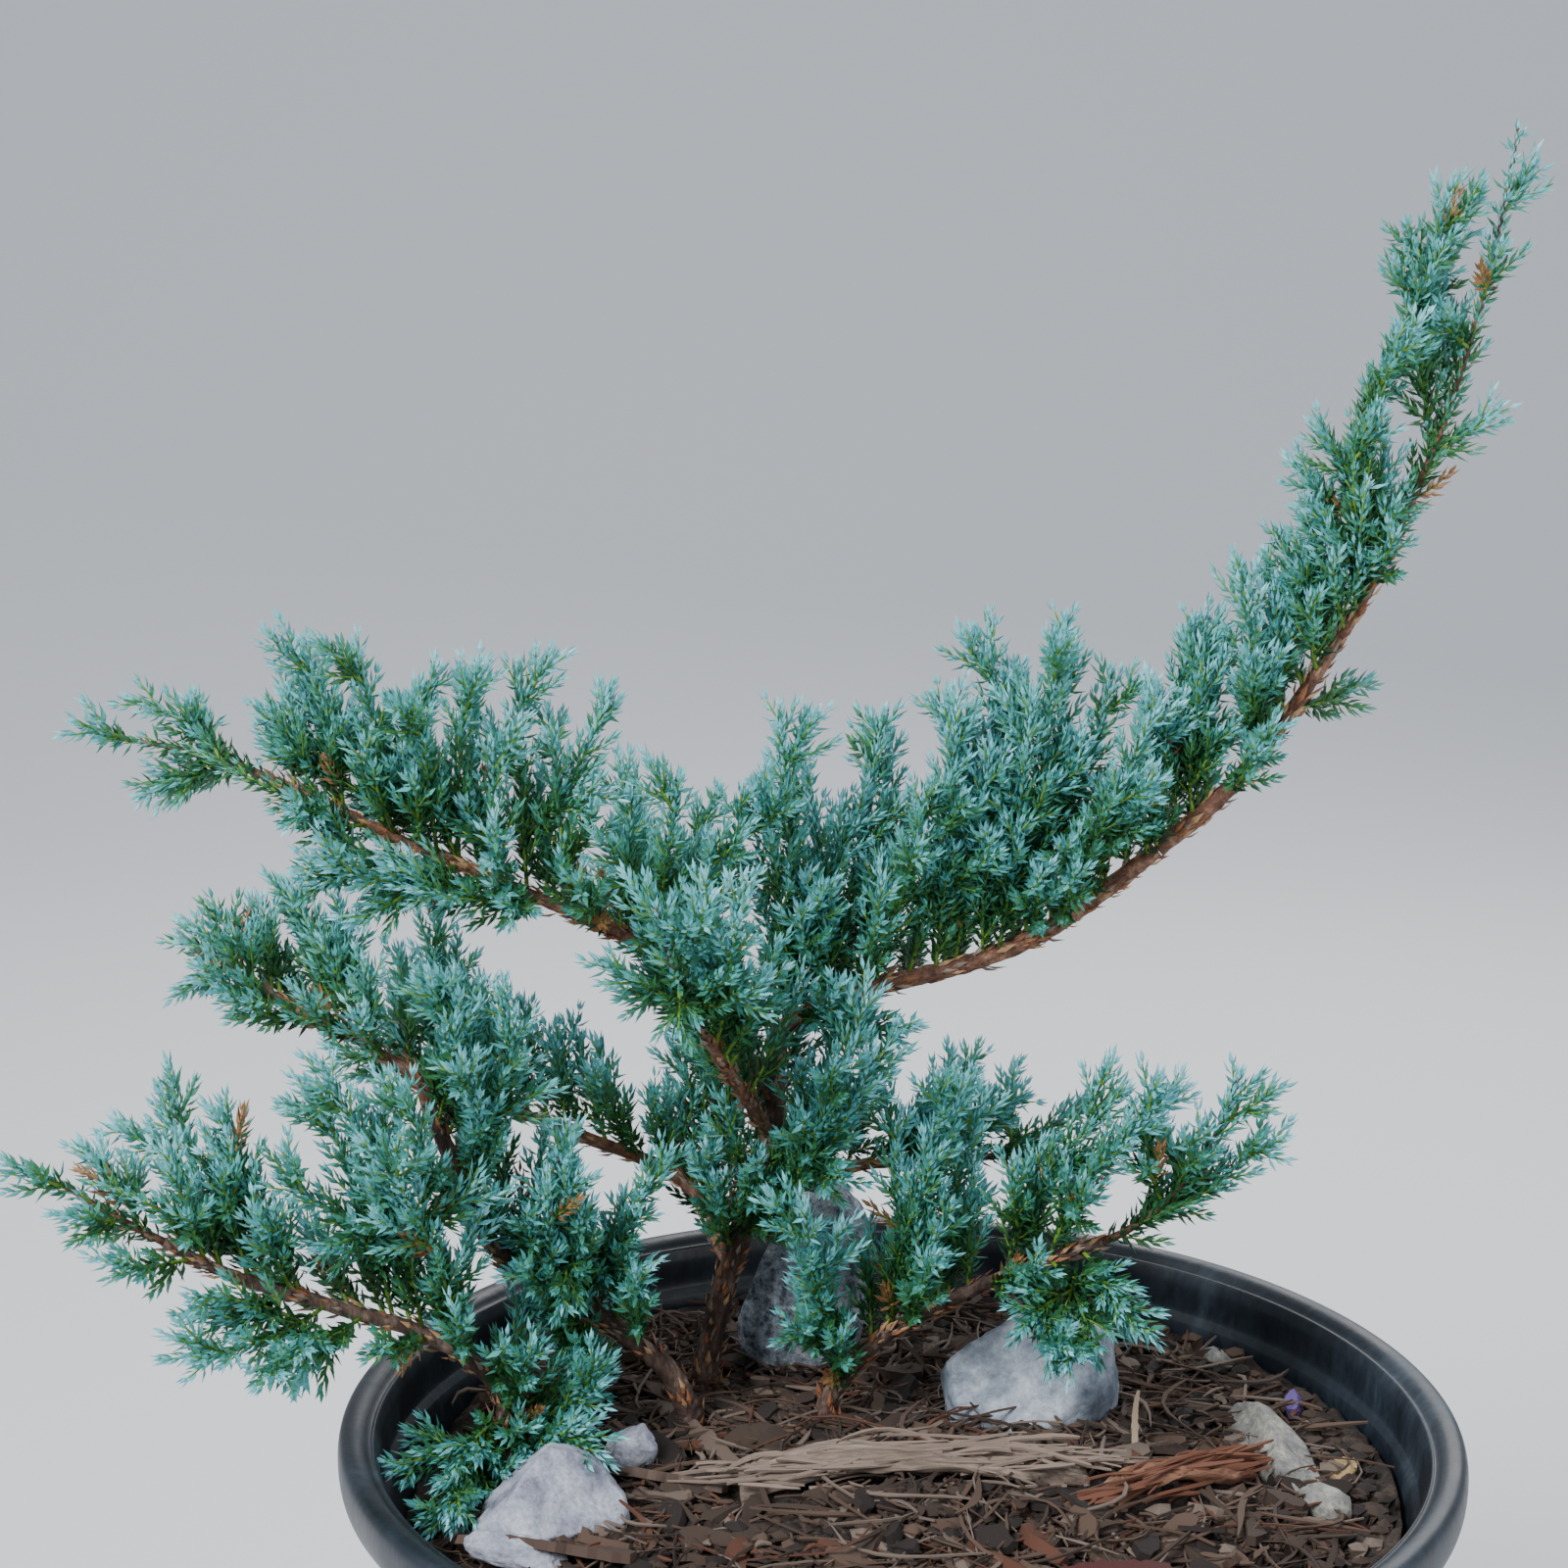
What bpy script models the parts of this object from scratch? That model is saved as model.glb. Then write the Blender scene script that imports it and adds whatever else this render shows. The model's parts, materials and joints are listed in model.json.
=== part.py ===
"""Blue chip juniper, a low spreading shrub of five stems, in a round black nursery pot.

Metres, +Z up. The origin is the centre of the pot's flat underside. X runs from the shrub's
upper left bough to its long right bough, and Y runs from the front to the back.
"""

import math
import random
from collections import namedtuple

import bmesh
import bpy
import numpy as np
from mathutils import Vector, noise

OBJECT_NAME = "blue_chip_juniper"
SEED = 7
CLEARANCE = 0.0003

# The pot: a tapered shell with a turned-down rim
POT_HEIGHT = 0.240
RIM_RADIUS = 0.140
RIM_DEPTH = 0.012
WALL_TOP_RADIUS = 0.1316
WALL_FOOT_RADIUS = 0.1130
INNER_TOP_RADIUS = 0.1285
INNER_FOOT_RADIUS = 0.1105
INNER_LEDGE_Z = 0.227
BASE_THICKNESS = 0.0028
FOOT_BEVEL = 0.0030
DRAIN_HOLES = 6
DRAIN_HOLE_RADIUS = 0.007
POT_STEPS = 40
# The lip from its inner crease to its outer edge: inwards from RIM_RADIUS, down from the top
LIP_OUTLINE = (
    (0.0095, 0.0040), (0.0070, 0.0012), (0.0035, 0.0), (0.0006, 0.0018), (0.0, 0.0060), (0.0016, 0.0125))

# The potting mix, filled to about 20 mm under the rim
GROUND_Z = 0.2215
GROUND_RINGS = 6
GROUND_ROUGHNESS = 0.0016
GROUND_GRAIN = 70.0
# A heap and a hollow in the mix: height, centre x and y, reach along x and y
GROUND_SWELLS = (
    (0.0085, 0.010, -0.035, 0.055, 0.045),
    (-0.0150, -0.118, -0.010, 0.026, 0.050),
)
SOIL_WALL_GAP = 0.0009
STEM_SUNK = 0.0020
SOCKET_DEPTH = 0.030
SOCKET_SLACK = 0.0010

# Leaf sprays: a slim core with whorls of three leaves, larger than life
LEAF_LENGTH = 0.0125
LEAF_ANGLE = math.radians(30)
WHORL_SPACING = 0.0098
CORE_RADIUS = 0.0009
TIP_CORE_RADIUS = 0.0005
SHOOT_LENGTH = 0.022
SHOOT_ANGLE = math.radians(42)
SHOOT_SPACING = 0.0135
BARE_STEM = 0.005
FORK_DROP = 0.16
GOLDEN_ANGLE = math.radians(137.5)

# Stones and strips of bark mulch that lie on the potting mix
STONE_ROUGHNESS = 0.10
STONE_GRAIN = 1.7
STONE_SLIVER = 0.0006
CHIP_RINGS = 7
# name, centre, half sizes, turns in degrees, number of broken faces, seed
Stone = namedtuple("Stone", "name centre radii turn flats seed")
# name, its two ends, width, thickness, height of its bend
Chip = namedtuple("Chip", "name start end width thickness arch")

STONES = (
    Stone("granite_stone", (-0.023, 0.070, 0.243), (0.018, 0.014, 0.034), (0, 8, 0), 3, 3),
    Stone("quartz_stone", (0.036, 0.036, 0.232), (0.024, 0.019, 0.025), (0, 20, 10), 6, 11),
    Stone("front_stone", (-0.086, -0.030, 0.224), (0.019, 0.020, 0.017), (0, 0, 25), 4, 21),
    Stone("wedge_stone", (0.096, 0.004, 0.221), (0.010, 0.030, 0.011), (8, 0, 12), 4, 31),
)
CHIPS = (
    Chip("mulch_strip", (-0.040, -0.022, 0.2262), (0.046, -0.014, 0.2272), 0.017, 0.004, 0.005),
    Chip("mulch_splinter", (0.050, -0.030, 0.2276), (0.088, -0.006, 0.2236), 0.010, 0.003, 0.003),
)

# name, radius at the foot, radius at the end, limb it grows from, points along it
Limb = namedtuple("Limb", "name foot_radius end_radius parent points")
# name, limb it sits on, place along that limb, tip, directions of its forks, their spread, shoots
Mass = namedtuple("Mass", "name limb seat tip forks spread shoots")

LIMBS = (
    Limb("trunk", 0.0034, 0.0026, None, (
        (-0.0500, 0.0500, 0.2200), (-0.0500, 0.0500, 0.2300), (-0.0460, 0.0485, 0.2500),
        (-0.0390, 0.0465, 0.2740), (-0.0330, 0.0455, 0.2960), (-0.0315, 0.0450, 0.3180))),
    Limb("long_bough_inner", 0.0024, 0.0022, "trunk_end", (
        (-0.0310, 0.0450, 0.3190), (-0.0230, 0.0455, 0.3300), (-0.0080, 0.0470, 0.3360),
        (0.0210, 0.0490, 0.3430), (0.0440, 0.0500, 0.3545), (0.0670, 0.0510, 0.3725))),
    Limb("long_bough_outer", 0.0022, 0.0012, "long_bough_inner_end", (
        (0.0680, 0.0511, 0.3735), (0.0900, 0.0520, 0.3940), (0.1060, 0.0535, 0.4170),
        (0.1180, 0.0550, 0.4370), (0.1270, 0.0560, 0.4560))),
    Limb("upper_left_bough", 0.0022, 0.0011, "trunk", (
        (-0.0320, 0.0450, 0.3060), (-0.0420, 0.0430, 0.3230), (-0.0540, 0.0410, 0.3420),
        (-0.0860, 0.0380, 0.3590), (-0.1200, 0.0350, 0.3745), (-0.1600, 0.0330, 0.3940))),
    Limb("front_bough", 0.0018, 0.0012, "trunk", (
        (-0.0330, 0.0455, 0.2960), (-0.0370, 0.0360, 0.3060), (-0.0430, 0.0220, 0.3200),
        (-0.0490, 0.0080, 0.3340))),
    Limb("mid_left_stem", 0.0030, 0.0019, None, (
        (-0.0540, 0.0220, 0.2210), (-0.0540, 0.0220, 0.2300), (-0.0620, 0.0225, 0.2430),
        (-0.0800, 0.0220, 0.2570), (-0.1010, 0.0190, 0.2720), (-0.1100, 0.0165, 0.2900),
        (-0.1190, 0.0150, 0.3140))),
    Limb("mid_left_bough", 0.0018, 0.0011, "mid_left_stem_end", (
        (-0.1198, 0.0150, 0.3152), (-0.1330, 0.0150, 0.3290), (-0.1500, 0.0160, 0.3370),
        (-0.1640, 0.0180, 0.3455))),
    Limb("low_left_stem", 0.0027, 0.0012, None, (
        (-0.1010, 0.0040, 0.2160), (-0.1010, 0.0040, 0.2280), (-0.1010, 0.0045, 0.2420),
        (-0.1180, 0.0000, 0.2580), (-0.1380, -0.0050, 0.2670), (-0.1640, -0.0130, 0.2790),
        (-0.1800, -0.0170, 0.2890))),
    Limb("centre_stem", 0.0019, 0.0013, None, (
        (-0.0830, 0.0330, 0.2190), (-0.0830, 0.0330, 0.2280), (-0.0832, 0.0300, 0.2500))),
    Limb("low_right_stem", 0.0027, 0.0013, None, (
        (-0.0170, 0.0260, 0.2210), (-0.0170, 0.0260, 0.2310), (-0.0040, 0.0250, 0.2480),
        (0.0210, 0.0220, 0.2635), (0.0520, 0.0175, 0.2775))),
    Limb("back_bough", 0.0020, 0.0012, "trunk", (
        (-0.0385, 0.0465, 0.2750), (-0.0450, 0.0700, 0.2900), (-0.0570, 0.0960, 0.3080),
        (-0.0680, 0.1160, 0.3240))),
    Limb("back_left_bough", 0.0021, 0.0012, "trunk", (
        (-0.0430, 0.0475, 0.2610), (-0.0560, 0.0580, 0.2790), (-0.0860, 0.0620, 0.2910),
        (-0.1150, 0.0680, 0.3000))),
    Limb("back_right_bough", 0.0020, 0.0012, "trunk", (
        (-0.0430, 0.0475, 0.2590), (-0.0480, 0.0700, 0.2630), (-0.0340, 0.0960, 0.2660),
        (-0.0020, 0.1080, 0.2670), (0.0250, 0.1100, 0.2680))),
)

MASSES = (
    Mass("long_bough_leader", "long_bough_outer", 1.0, (0.153, 0.060, 0.556), (195, 160, 230), 0.013, 4),
    Mass("long_spray_10", "long_bough_outer", 0.84, (0.114, 0.050, 0.482), (40,), 0.010, 3),
    Mass("long_spray_9", "long_bough_outer", 0.62, (0.105, 0.061, 0.462), (190,), 0.010, 3),
    Mass("long_spray_8", "long_bough_outer", 0.34, (0.088, 0.048, 0.441), (30,), 0.011, 3),
    Mass("long_spray_7", "long_bough_outer", 0.06, (0.076, 0.061, 0.431), (330,), 0.008, 3),
    Mass("long_spray_6", "long_bough_inner", 0.88, (0.065, 0.038, 0.413), (), 0.010, 4),
    Mass("long_spray_5", "long_bough_inner", 0.71, (0.041, 0.048, 0.433), (20,), 0.015, 4),
    Mass("long_spray_4", "long_bough_inner", 0.62, (0.023, 0.060, 0.432), (), 0.010, 5),
    Mass("long_spray_3", "long_bough_inner", 0.48, (0.014, 0.040, 0.413), (0,), 0.010, 4),
    Mass("long_spray_2", "long_bough_inner", 0.33, (-0.004, 0.062, 0.406), (), 0.010, 4),
    Mass("long_spray_1", "long_bough_inner", 0.20, (-0.031, 0.036, 0.412), (), 0.010, 5),
    Mass("upper_left_leader", "upper_left_bough", 1.0, (-0.203, 0.030, 0.405), (0, 180, 20), 0.013, 3),
    Mass("upper_left_spray_1", "upper_left_bough", 0.92, (-0.152, 0.044, 0.418), (180,), 0.012, 3),
    Mass("upper_left_spray_2", "upper_left_bough", 0.85, (-0.137, 0.030, 0.428), (), 0.010, 3),
    Mass("upper_left_spray_3", "upper_left_bough", 0.76, (-0.110, 0.038, 0.419), (180,), 0.015, 3),
    Mass("upper_left_spray_4", "upper_left_bough", 0.66, (-0.098, 0.050, 0.420), (0,), 0.022, 3),
    Mass("upper_left_low_spray", "upper_left_bough", 0.70, (-0.146, 0.004, 0.379), (180,), 0.010, 4),
    Mass("upper_centre_mass", "upper_left_bough", 0.46, (-0.056, 0.028, 0.396), (0, 200), 0.020, 4),
    Mass("mid_left_leader", "mid_left_bough", 1.0, (-0.181, 0.020, 0.356), (0, 180), 0.011, 3),
    Mass("mid_left_spray", "mid_left_bough", 0.50, (-0.155, 0.030, 0.366), (20,), 0.011, 3),
    Mass("mid_left_fan", "mid_left_stem", 0.88, (-0.112, 0.004, 0.349), (0,), 0.016, 4),
    Mass("low_left_leader", "low_left_stem", 1.0, (-0.209, -0.018, 0.307), (0, 270), 0.012, 3),
    Mass("low_left_spray", "low_left_stem", 0.80, (-0.183, -0.006, 0.320), (10,), 0.014, 3),
    Mass("low_left_under", "low_left_stem", 0.70, (-0.168, -0.044, 0.270), (120,), 0.013, 4),
    Mass("low_left_mass", "low_left_stem", 0.52, (-0.142, -0.014, 0.334), (0, 200), 0.018, 4),
    Mass("centre_mass", "centre_stem", 1.0, (-0.086, 0.004, 0.304), (0, 180, 270), 0.022, 5),
    Mass("front_mass", "front_bough", 1.0, (-0.060, -0.020, 0.374), (0, 180, 270), 0.018, 4),
    Mass("low_right_leader", "low_right_stem", 1.0, (0.084, 0.010, 0.324), (0, 180, 90), 0.015, 4),
    Mass("low_right_spray_1", "low_right_stem", 0.60, (0.016, 0.026, 0.316), (180,), 0.014, 4),
    Mass("low_right_spray_2", "low_right_stem", 0.36, (-0.024, 0.004, 0.292), (), 0.012, 4),
    Mass("trunk_side_spray", "trunk", 0.62, (-0.008, 0.024, 0.345), (300,), 0.013, 4),
    Mass("low_right_under", "low_right_stem", 0.90, (0.046, -0.020, 0.262), (0, 180), 0.016, 3),
    Mass("foot_spray_left", "low_left_stem", 0.17, (-0.112, -0.032, 0.226), (160,), 0.016, 4),
    Mass("foot_spray_right", "low_left_stem", 0.21, (-0.074, -0.010, 0.250), (270,), 0.010, 3),
    Mass("back_mass", "back_bough", 1.0, (-0.075, 0.150, 0.365), (0, 180, 270), 0.020, 5),
    Mass("back_left_mass", "back_left_bough", 1.0, (-0.150, 0.095, 0.330), (0, 180, 270), 0.020, 5),
    Mass("back_right_mass", "back_right_bough", 1.0, (0.056, 0.118, 0.283), (0, 180, 90), 0.018, 5),
)


def clear_scene():
    for item in list(bpy.data.objects):
        bpy.data.objects.remove(item)


def new_collection(name):
    collection = bpy.data.collections.new(name)
    bpy.context.scene.collection.children.link(collection)
    return collection


def new_material(name, colour, roughness):
    material = bpy.data.materials.new(name)
    material.use_nodes = True
    shader = material.node_tree.nodes["Principled BSDF"]
    shader.inputs["Base Color"].default_value = (*colour, 1.0)
    shader.inputs["Roughness"].default_value = roughness
    shader.inputs["Metallic"].default_value = 0.0
    return material


def add_object(name, mesh, collection, material=None, smooth=True):
    """A new object of this mesh in the collection, shaded smooth up to 40 degrees."""
    item = bpy.data.objects.new(name, mesh)
    collection.objects.link(item)
    if material:
        mesh.materials.clear()
        mesh.materials.append(material)
    if smooth:
        mesh.shade_smooth()
        mesh.set_sharp_from_angle(angle=math.radians(40))
    return item


def as_cutter(item):
    item.hide_render = True
    item.display_type = "WIRE"
    return item


def mesh_of(shape):
    """A new mesh from the bmesh, which is freed."""
    mesh = bpy.data.meshes.new("shape")
    shape.to_mesh(mesh)
    shape.free()
    return mesh


def triangulate(mesh):
    shape = bmesh.new()
    shape.from_mesh(mesh)
    bmesh.ops.triangulate(shape, faces=shape.faces)
    shape.to_mesh(mesh)
    shape.free()


def evaluated_mesh(item):
    """The item's mesh after its modifiers, as a new mesh."""
    bpy.context.view_layer.update()
    graph = bpy.context.evaluated_depsgraph_get()
    return bpy.data.meshes.new_from_object(item.evaluated_get(graph))


def add_boolean(item, operation, other):
    """A cut by a closed mesh, with the solver that leaves these turned shapes closed."""
    modifier = item.modifiers.new(operation.lower(), "BOOLEAN")
    modifier.operation = operation
    modifier.solver = "MANIFOLD"
    modifier.object = other


# Pot and potting mix
def pot_inner_radius(z):
    """Radius of the pot's inner wall at height z, up to the ledge under the rim."""
    share = min(max(z / INNER_LEDGE_Z, 0.0), 1.0)
    return INNER_FOOT_RADIUS + (INNER_TOP_RADIUS - INNER_FOOT_RADIUS) * share


def pot_profile():
    """Half section of the pot: up its inside, over the rim, down its outside and in to the axis."""
    lip = tuple((RIM_RADIUS - inwards, POT_HEIGHT - down) for inwards, down in LIP_OUTLINE)
    return (
        (0.0, BASE_THICKNESS),
        (INNER_FOOT_RADIUS, BASE_THICKNESS),
        (INNER_TOP_RADIUS, INNER_LEDGE_Z),
        *lip,
        (WALL_TOP_RADIUS, POT_HEIGHT - RIM_DEPTH),
        (WALL_FOOT_RADIUS, 2 * FOOT_BEVEL),
        (WALL_FOOT_RADIUS - FOOT_BEVEL, 0.0),
        (0.0, 0.0),
    )


def screw_object(name, profile, steps, collection, material):
    """A turned shape: the profile of (radius, height) points swept once round the Z axis."""
    mesh = bpy.data.meshes.new(name)
    edges = [(i, i + 1) for i in range(len(profile) - 1)]
    mesh.from_pydata([(r, 0.0, z) for r, z in profile], edges, [])
    item = add_object(name, mesh, collection, material, smooth=False)
    screw = item.modifiers.new("screw", "SCREW")
    screw.steps = steps
    screw.render_steps = steps
    screw.use_merge_vertices = True
    screw.merge_threshold = 0.00001
    screw.use_smooth_shade = True
    return item


def make_pot(collection, cutters, material):
    pot = screw_object("pot", pot_profile(), POT_STEPS, collection, material)
    for i in range(DRAIN_HOLES):
        angle = 2 * math.pi * (i + 0.5) / DRAIN_HOLES
        shape = bmesh.new()
        bmesh.ops.create_uvsphere(shape, u_segments=10, v_segments=6, radius=DRAIN_HOLE_RADIUS)
        hole = as_cutter(add_object(f"drain_hole_{i + 1}", mesh_of(shape), cutters, smooth=False))
        hole.location = (WALL_FOOT_RADIUS * math.cos(angle), WALL_FOOT_RADIUS * math.sin(angle), 0.0)
        add_boolean(pot, "DIFFERENCE", hole)
    return pot


def ground(x, y):
    """Height of the potting mix: level, heaped at the front centre, sunk at the left wall."""
    height = GROUND_Z
    for rise, x0, y0, reach_x, reach_y in GROUND_SWELLS:
        height += rise * math.exp(-(((x - x0) / reach_x) ** 2) - (((y - y0) / reach_y) ** 2))
    return height


def make_soil(collection, cutters, material, feet):
    """The potting mix: a turned plug inside the pot, its top moved to the ground's height.

    Each stem stands in a socket: feet holds the name, x, y, z and radius of each stem's foot.
    """
    floor = BASE_THICKNESS + CLEARANCE
    edge = pot_inner_radius(GROUND_Z) - SOIL_WALL_GAP
    profile = [(edge * i / GROUND_RINGS, GROUND_Z) for i in range(GROUND_RINGS + 1)]
    profile += [(pot_inner_radius(0.0) - SOIL_WALL_GAP, floor), (0.0, floor)]
    turned = screw_object("soil_blank", profile, POT_STEPS, cutters, material)
    mesh = evaluated_mesh(turned)
    bpy.data.objects.remove(turned)
    for vertex in mesh.vertices:
        x, y, z = vertex.co
        if z < 0.9 * GROUND_Z:
            continue
        radius = math.hypot(x, y)
        height = ground(x, y) + GROUND_ROUGHNESS * noise.noise(Vector((x, y, 0.0)) * GROUND_GRAIN)
        if radius > 0.999 * edge:
            reach = pot_inner_radius(height) - SOIL_WALL_GAP
            x, y = x * reach / radius, y * reach / radius
        vertex.co = (x, y, height)
    triangulate(mesh)
    soil = add_object("soil", mesh, collection, material)
    for name, x, y, z, radius in feet:
        shape = bmesh.new()
        bmesh.ops.create_cone(
            shape, cap_ends=True, segments=10, radius1=radius + SOCKET_SLACK,
            radius2=radius + 3 * SOCKET_SLACK, depth=SOCKET_DEPTH)
        socket = as_cutter(add_object(f"{name}_socket", mesh_of(shape), cutters, smooth=False))
        socket.location = (x, y, z - CLEARANCE + SOCKET_DEPTH / 2)
        add_boolean(soil, "DIFFERENCE", socket)
    return soil


def raised_soil(soil, cutters):
    """A copy of the finished soil, higher by the clearance: it trims what lies on the soil."""
    copy = as_cutter(add_object("soil_clearance", evaluated_mesh(soil), cutters, smooth=False))
    copy.location = (0.0, 0.0, CLEARANCE)
    return copy


def make_stone(stone, trimmer, collection, material):
    """A stone: a ball broken flat on some sides, stretched to its size, bedded on the mix."""
    dice = random.Random(stone.seed)
    shape = bmesh.new()
    bmesh.ops.create_icosphere(shape, subdivisions=1, radius=1.0)
    for _ in range(stone.flats):
        normal = Vector((dice.uniform(-1, 1), dice.uniform(-1, 1), dice.uniform(-0.2, 1))).normalized()
        everything = shape.verts[:] + shape.edges[:] + shape.faces[:]
        cut = bmesh.ops.bisect_plane(
            shape, geom=everything, plane_co=normal * dice.uniform(0.62, 0.82),
            plane_no=normal, clear_outer=True)
        rim = [part for part in cut["geom_cut"] if isinstance(part, bmesh.types.BMEdge)]
        bmesh.ops.holes_fill(shape, edges=rim)
    for vertex in shape.verts:
        wobble = 1.0 + STONE_ROUGHNESS * noise.noise(vertex.co * STONE_GRAIN + Vector((stone.seed, 0, 0)))
        vertex.co = Vector([length * size for length, size in zip(vertex.co, stone.radii)]) * wobble
    bmesh.ops.dissolve_degenerate(shape, dist=STONE_SLIVER, edges=shape.edges)
    bmesh.ops.triangulate(shape, faces=shape.faces)
    item = add_object(stone.name, mesh_of(shape), collection, material, smooth=False)
    item.location = stone.centre
    item.rotation_euler = [math.radians(angle) for angle in stone.turn]
    add_boolean(item, "DIFFERENCE", trimmer)


def make_chip(chip, trimmer, collection, material):
    """A strip of bark mulch: a four-sided loft, widest in the middle, bent up in an arch."""
    start, end = Vector(chip.start), Vector(chip.end)
    ahead = (end - start).normalized()
    across = Vector((-ahead.y, ahead.x, 0.0)).normalized()
    lift = Vector((0, 0, chip.thickness / 2))
    shape = bmesh.new()
    rings = []
    for i in range(CHIP_RINGS):
        share = i / (CHIP_RINGS - 1)
        middle = start.lerp(end, share)
        middle.z += chip.arch * math.sin(math.pi * share)
        half = 0.5 * chip.width * (0.55 + 0.45 * math.sin(math.pi * (0.15 + 0.7 * share)))
        edge = across * half + Vector((0, 0, 0.25 * half * math.sin(5.0 * share)))
        rings.append([shape.verts.new(middle + a * edge + b * lift)
                      for a, b in ((-1, -1), (1, -1), (1, 1), (-1, 1))])
    for low, high in zip(rings, rings[1:]):
        for i in range(4):
            shape.faces.new((low[i], low[(i + 1) % 4], high[(i + 1) % 4], high[i]))
    shape.faces.new(rings[0][::-1])
    shape.faces.new(rings[-1])
    bmesh.ops.recalc_face_normals(shape, faces=shape.faces)
    item = add_object(chip.name, mesh_of(shape), collection, material, smooth=False)
    add_boolean(item, "DIFFERENCE", trimmer)


# Limbs
def smooth_path(points, count):
    """Evenly numbered points on a Catmull-Rom curve through the given ones."""
    anchors = np.array([points[0], *points, points[-1]], float)
    anchors[0] = 2 * anchors[1] - anchors[2]
    anchors[-1] = 2 * anchors[-2] - anchors[-3]
    places = np.linspace(0, len(points) - 1, count)
    index = np.minimum(places.astype(int), len(points) - 2)
    t = (places - index)[:, None]
    a, b, c, d = (anchors[index + k] for k in range(4))
    return 0.5 * (2 * b + (c - a) * t + (2 * a - 5 * b + 4 * c - d) * t**2 + (3 * b - a - 3 * c + d) * t**3)


def limb_path(limb):
    """The limb's centre line: points and radii, with a root flare where it stands in the soil."""
    count = 2 * len(limb.points) + 1
    path = smooth_path(limb.points, count)
    share = np.linspace(0, 1, count)
    radii = limb.foot_radius + (limb.end_radius - limb.foot_radius) * share
    if limb.parent is None:
        x, y, _ = limb.points[0]
        path[0, 2] = ground(x, y) - STEM_SUNK
        path[1, :2] = path[0, :2]
        rise = path[:, 2] - path[0, 2]
        radii = radii * (1 + 0.65 * np.exp(-np.maximum(rise, 0) / 0.006))
    return path, radii


def tube_object(name, path, radii, collection, material):
    """A tube along the path with its own radius at each point, made a closed mesh."""
    curve = bpy.data.curves.new(name, "CURVE")
    curve.dimensions = "3D"
    curve.bevel_depth = 1.0
    curve.bevel_resolution = 1
    curve.use_fill_caps = True
    spline = curve.splines.new("POLY")
    spline.points.add(len(path) - 1)
    for point, place, radius in zip(spline.points, path, radii):
        point.co = (*place, 1.0)
        point.radius = radius
    wire = bpy.data.objects.new(name + "_curve", curve)
    collection.objects.link(wire)
    mesh = evaluated_mesh(wire)
    bpy.data.objects.remove(wire)
    mesh.name = name
    shape = bmesh.new()
    shape.from_mesh(mesh)
    bmesh.ops.remove_doubles(shape, verts=shape.verts, dist=0.00001)
    shape.to_mesh(mesh)
    shape.free()
    return add_object(name, mesh, collection, material)


def make_limbs(collection, cutters, material):
    """All stems and boughs. A bough that leaves the trunk's side is cut to its round."""
    paths = {}
    for limb in LIMBS:
        path, radii = limb_path(limb)
        if limb.parent and limb.parent.endswith("_end"):
            before = paths[limb.parent[:-4]][0]
            ahead = unit(before[-1] - before[-2])
            path[0] = before[-1] + CLEARANCE * ahead
            path[1] = path[0] + 0.5 * float(np.linalg.norm(path[2] - path[0])) * ahead
        paths[limb.name] = (path, radii)
    trunk_path, trunk_radii = paths["trunk"]
    trimmer = tube_object("trunk_clearance", trunk_path, trunk_radii + CLEARANCE, cutters, material)
    as_cutter(trimmer)
    for limb in LIMBS:
        item = tube_object(limb.name, *paths[limb.name], collection, material)
        if limb.parent == "trunk":
            add_boolean(item, "DIFFERENCE", trimmer)
    return paths


# Space taken up, as capsules
def unit(vector):
    return vector / max(float(np.linalg.norm(vector)), 1e-12)


class TakenSpace:
    """Capsules that the shrub already fills: two ends, a radius and the owner of each."""

    def __init__(self):
        self.starts = np.zeros((0, 3))
        self.ends = np.zeros((0, 3))
        self.radii = np.zeros(0)
        self.owners = []

    def add(self, start, end, radius, owner):
        self.starts = np.vstack([self.starts, start])
        self.ends = np.vstack([self.ends, end])
        self.radii = np.append(self.radii, radius)
        self.owners.append(owner)

    def gap(self, start, end, radius, leave_out=()):
        """Smallest gap between this capsule and the ones of other owners."""
        keep = np.array([owner not in leave_out for owner in self.owners])
        if not keep.any():
            return 1.0
        p, q = self.starts[keep], self.ends[keep]
        u = end - start
        v = q - p
        w = start - p
        a = float(u @ u) + 1e-18
        b = v @ u
        c = np.einsum("ij,ij->i", v, v) + 1e-18
        d = w @ u
        e = np.einsum("ij,ij->i", v, w)
        s = np.clip((b * e - c * d) / np.maximum(a * c - b * b, 1e-18), 0, 1)
        t = np.clip((b * s + e) / c, 0, 1)
        s = np.clip((b * t - d) / a, 0, 1)
        apart = w + s[:, None] * u - t[:, None] * v
        return float((np.linalg.norm(apart, axis=1) - self.radii[keep]).min()) - radius


def clear_of_pot(point, radius):
    """True where a ball at this point stays above the soil and off the pot's rim and wall."""
    x, y, z = point
    from_axis = math.hypot(x, y)
    if from_axis < INNER_TOP_RADIUS - 0.001 - radius:
        return z - radius > ground(x, y) + 0.0015
    if from_axis > RIM_RADIUS + radius + CLEARANCE:
        return z - radius > 0.002
    return z - radius > POT_HEIGHT + CLEARANCE


# Sprays
def frames_along(path):
    """Unit tangent and two unit normals at each point, carried along without a twist."""
    tangents = np.gradient(path, axis=0)
    tangents /= np.linalg.norm(tangents, axis=1)[:, None]
    side = np.cross(tangents[0], (0.31, 0.12, 0.94))
    sides = []
    for tangent in tangents:
        side = unit(side - tangent * float(side @ tangent))
        sides.append(side)
    sides = np.array(sides)
    return tangents, sides, np.cross(tangents, sides)


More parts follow.
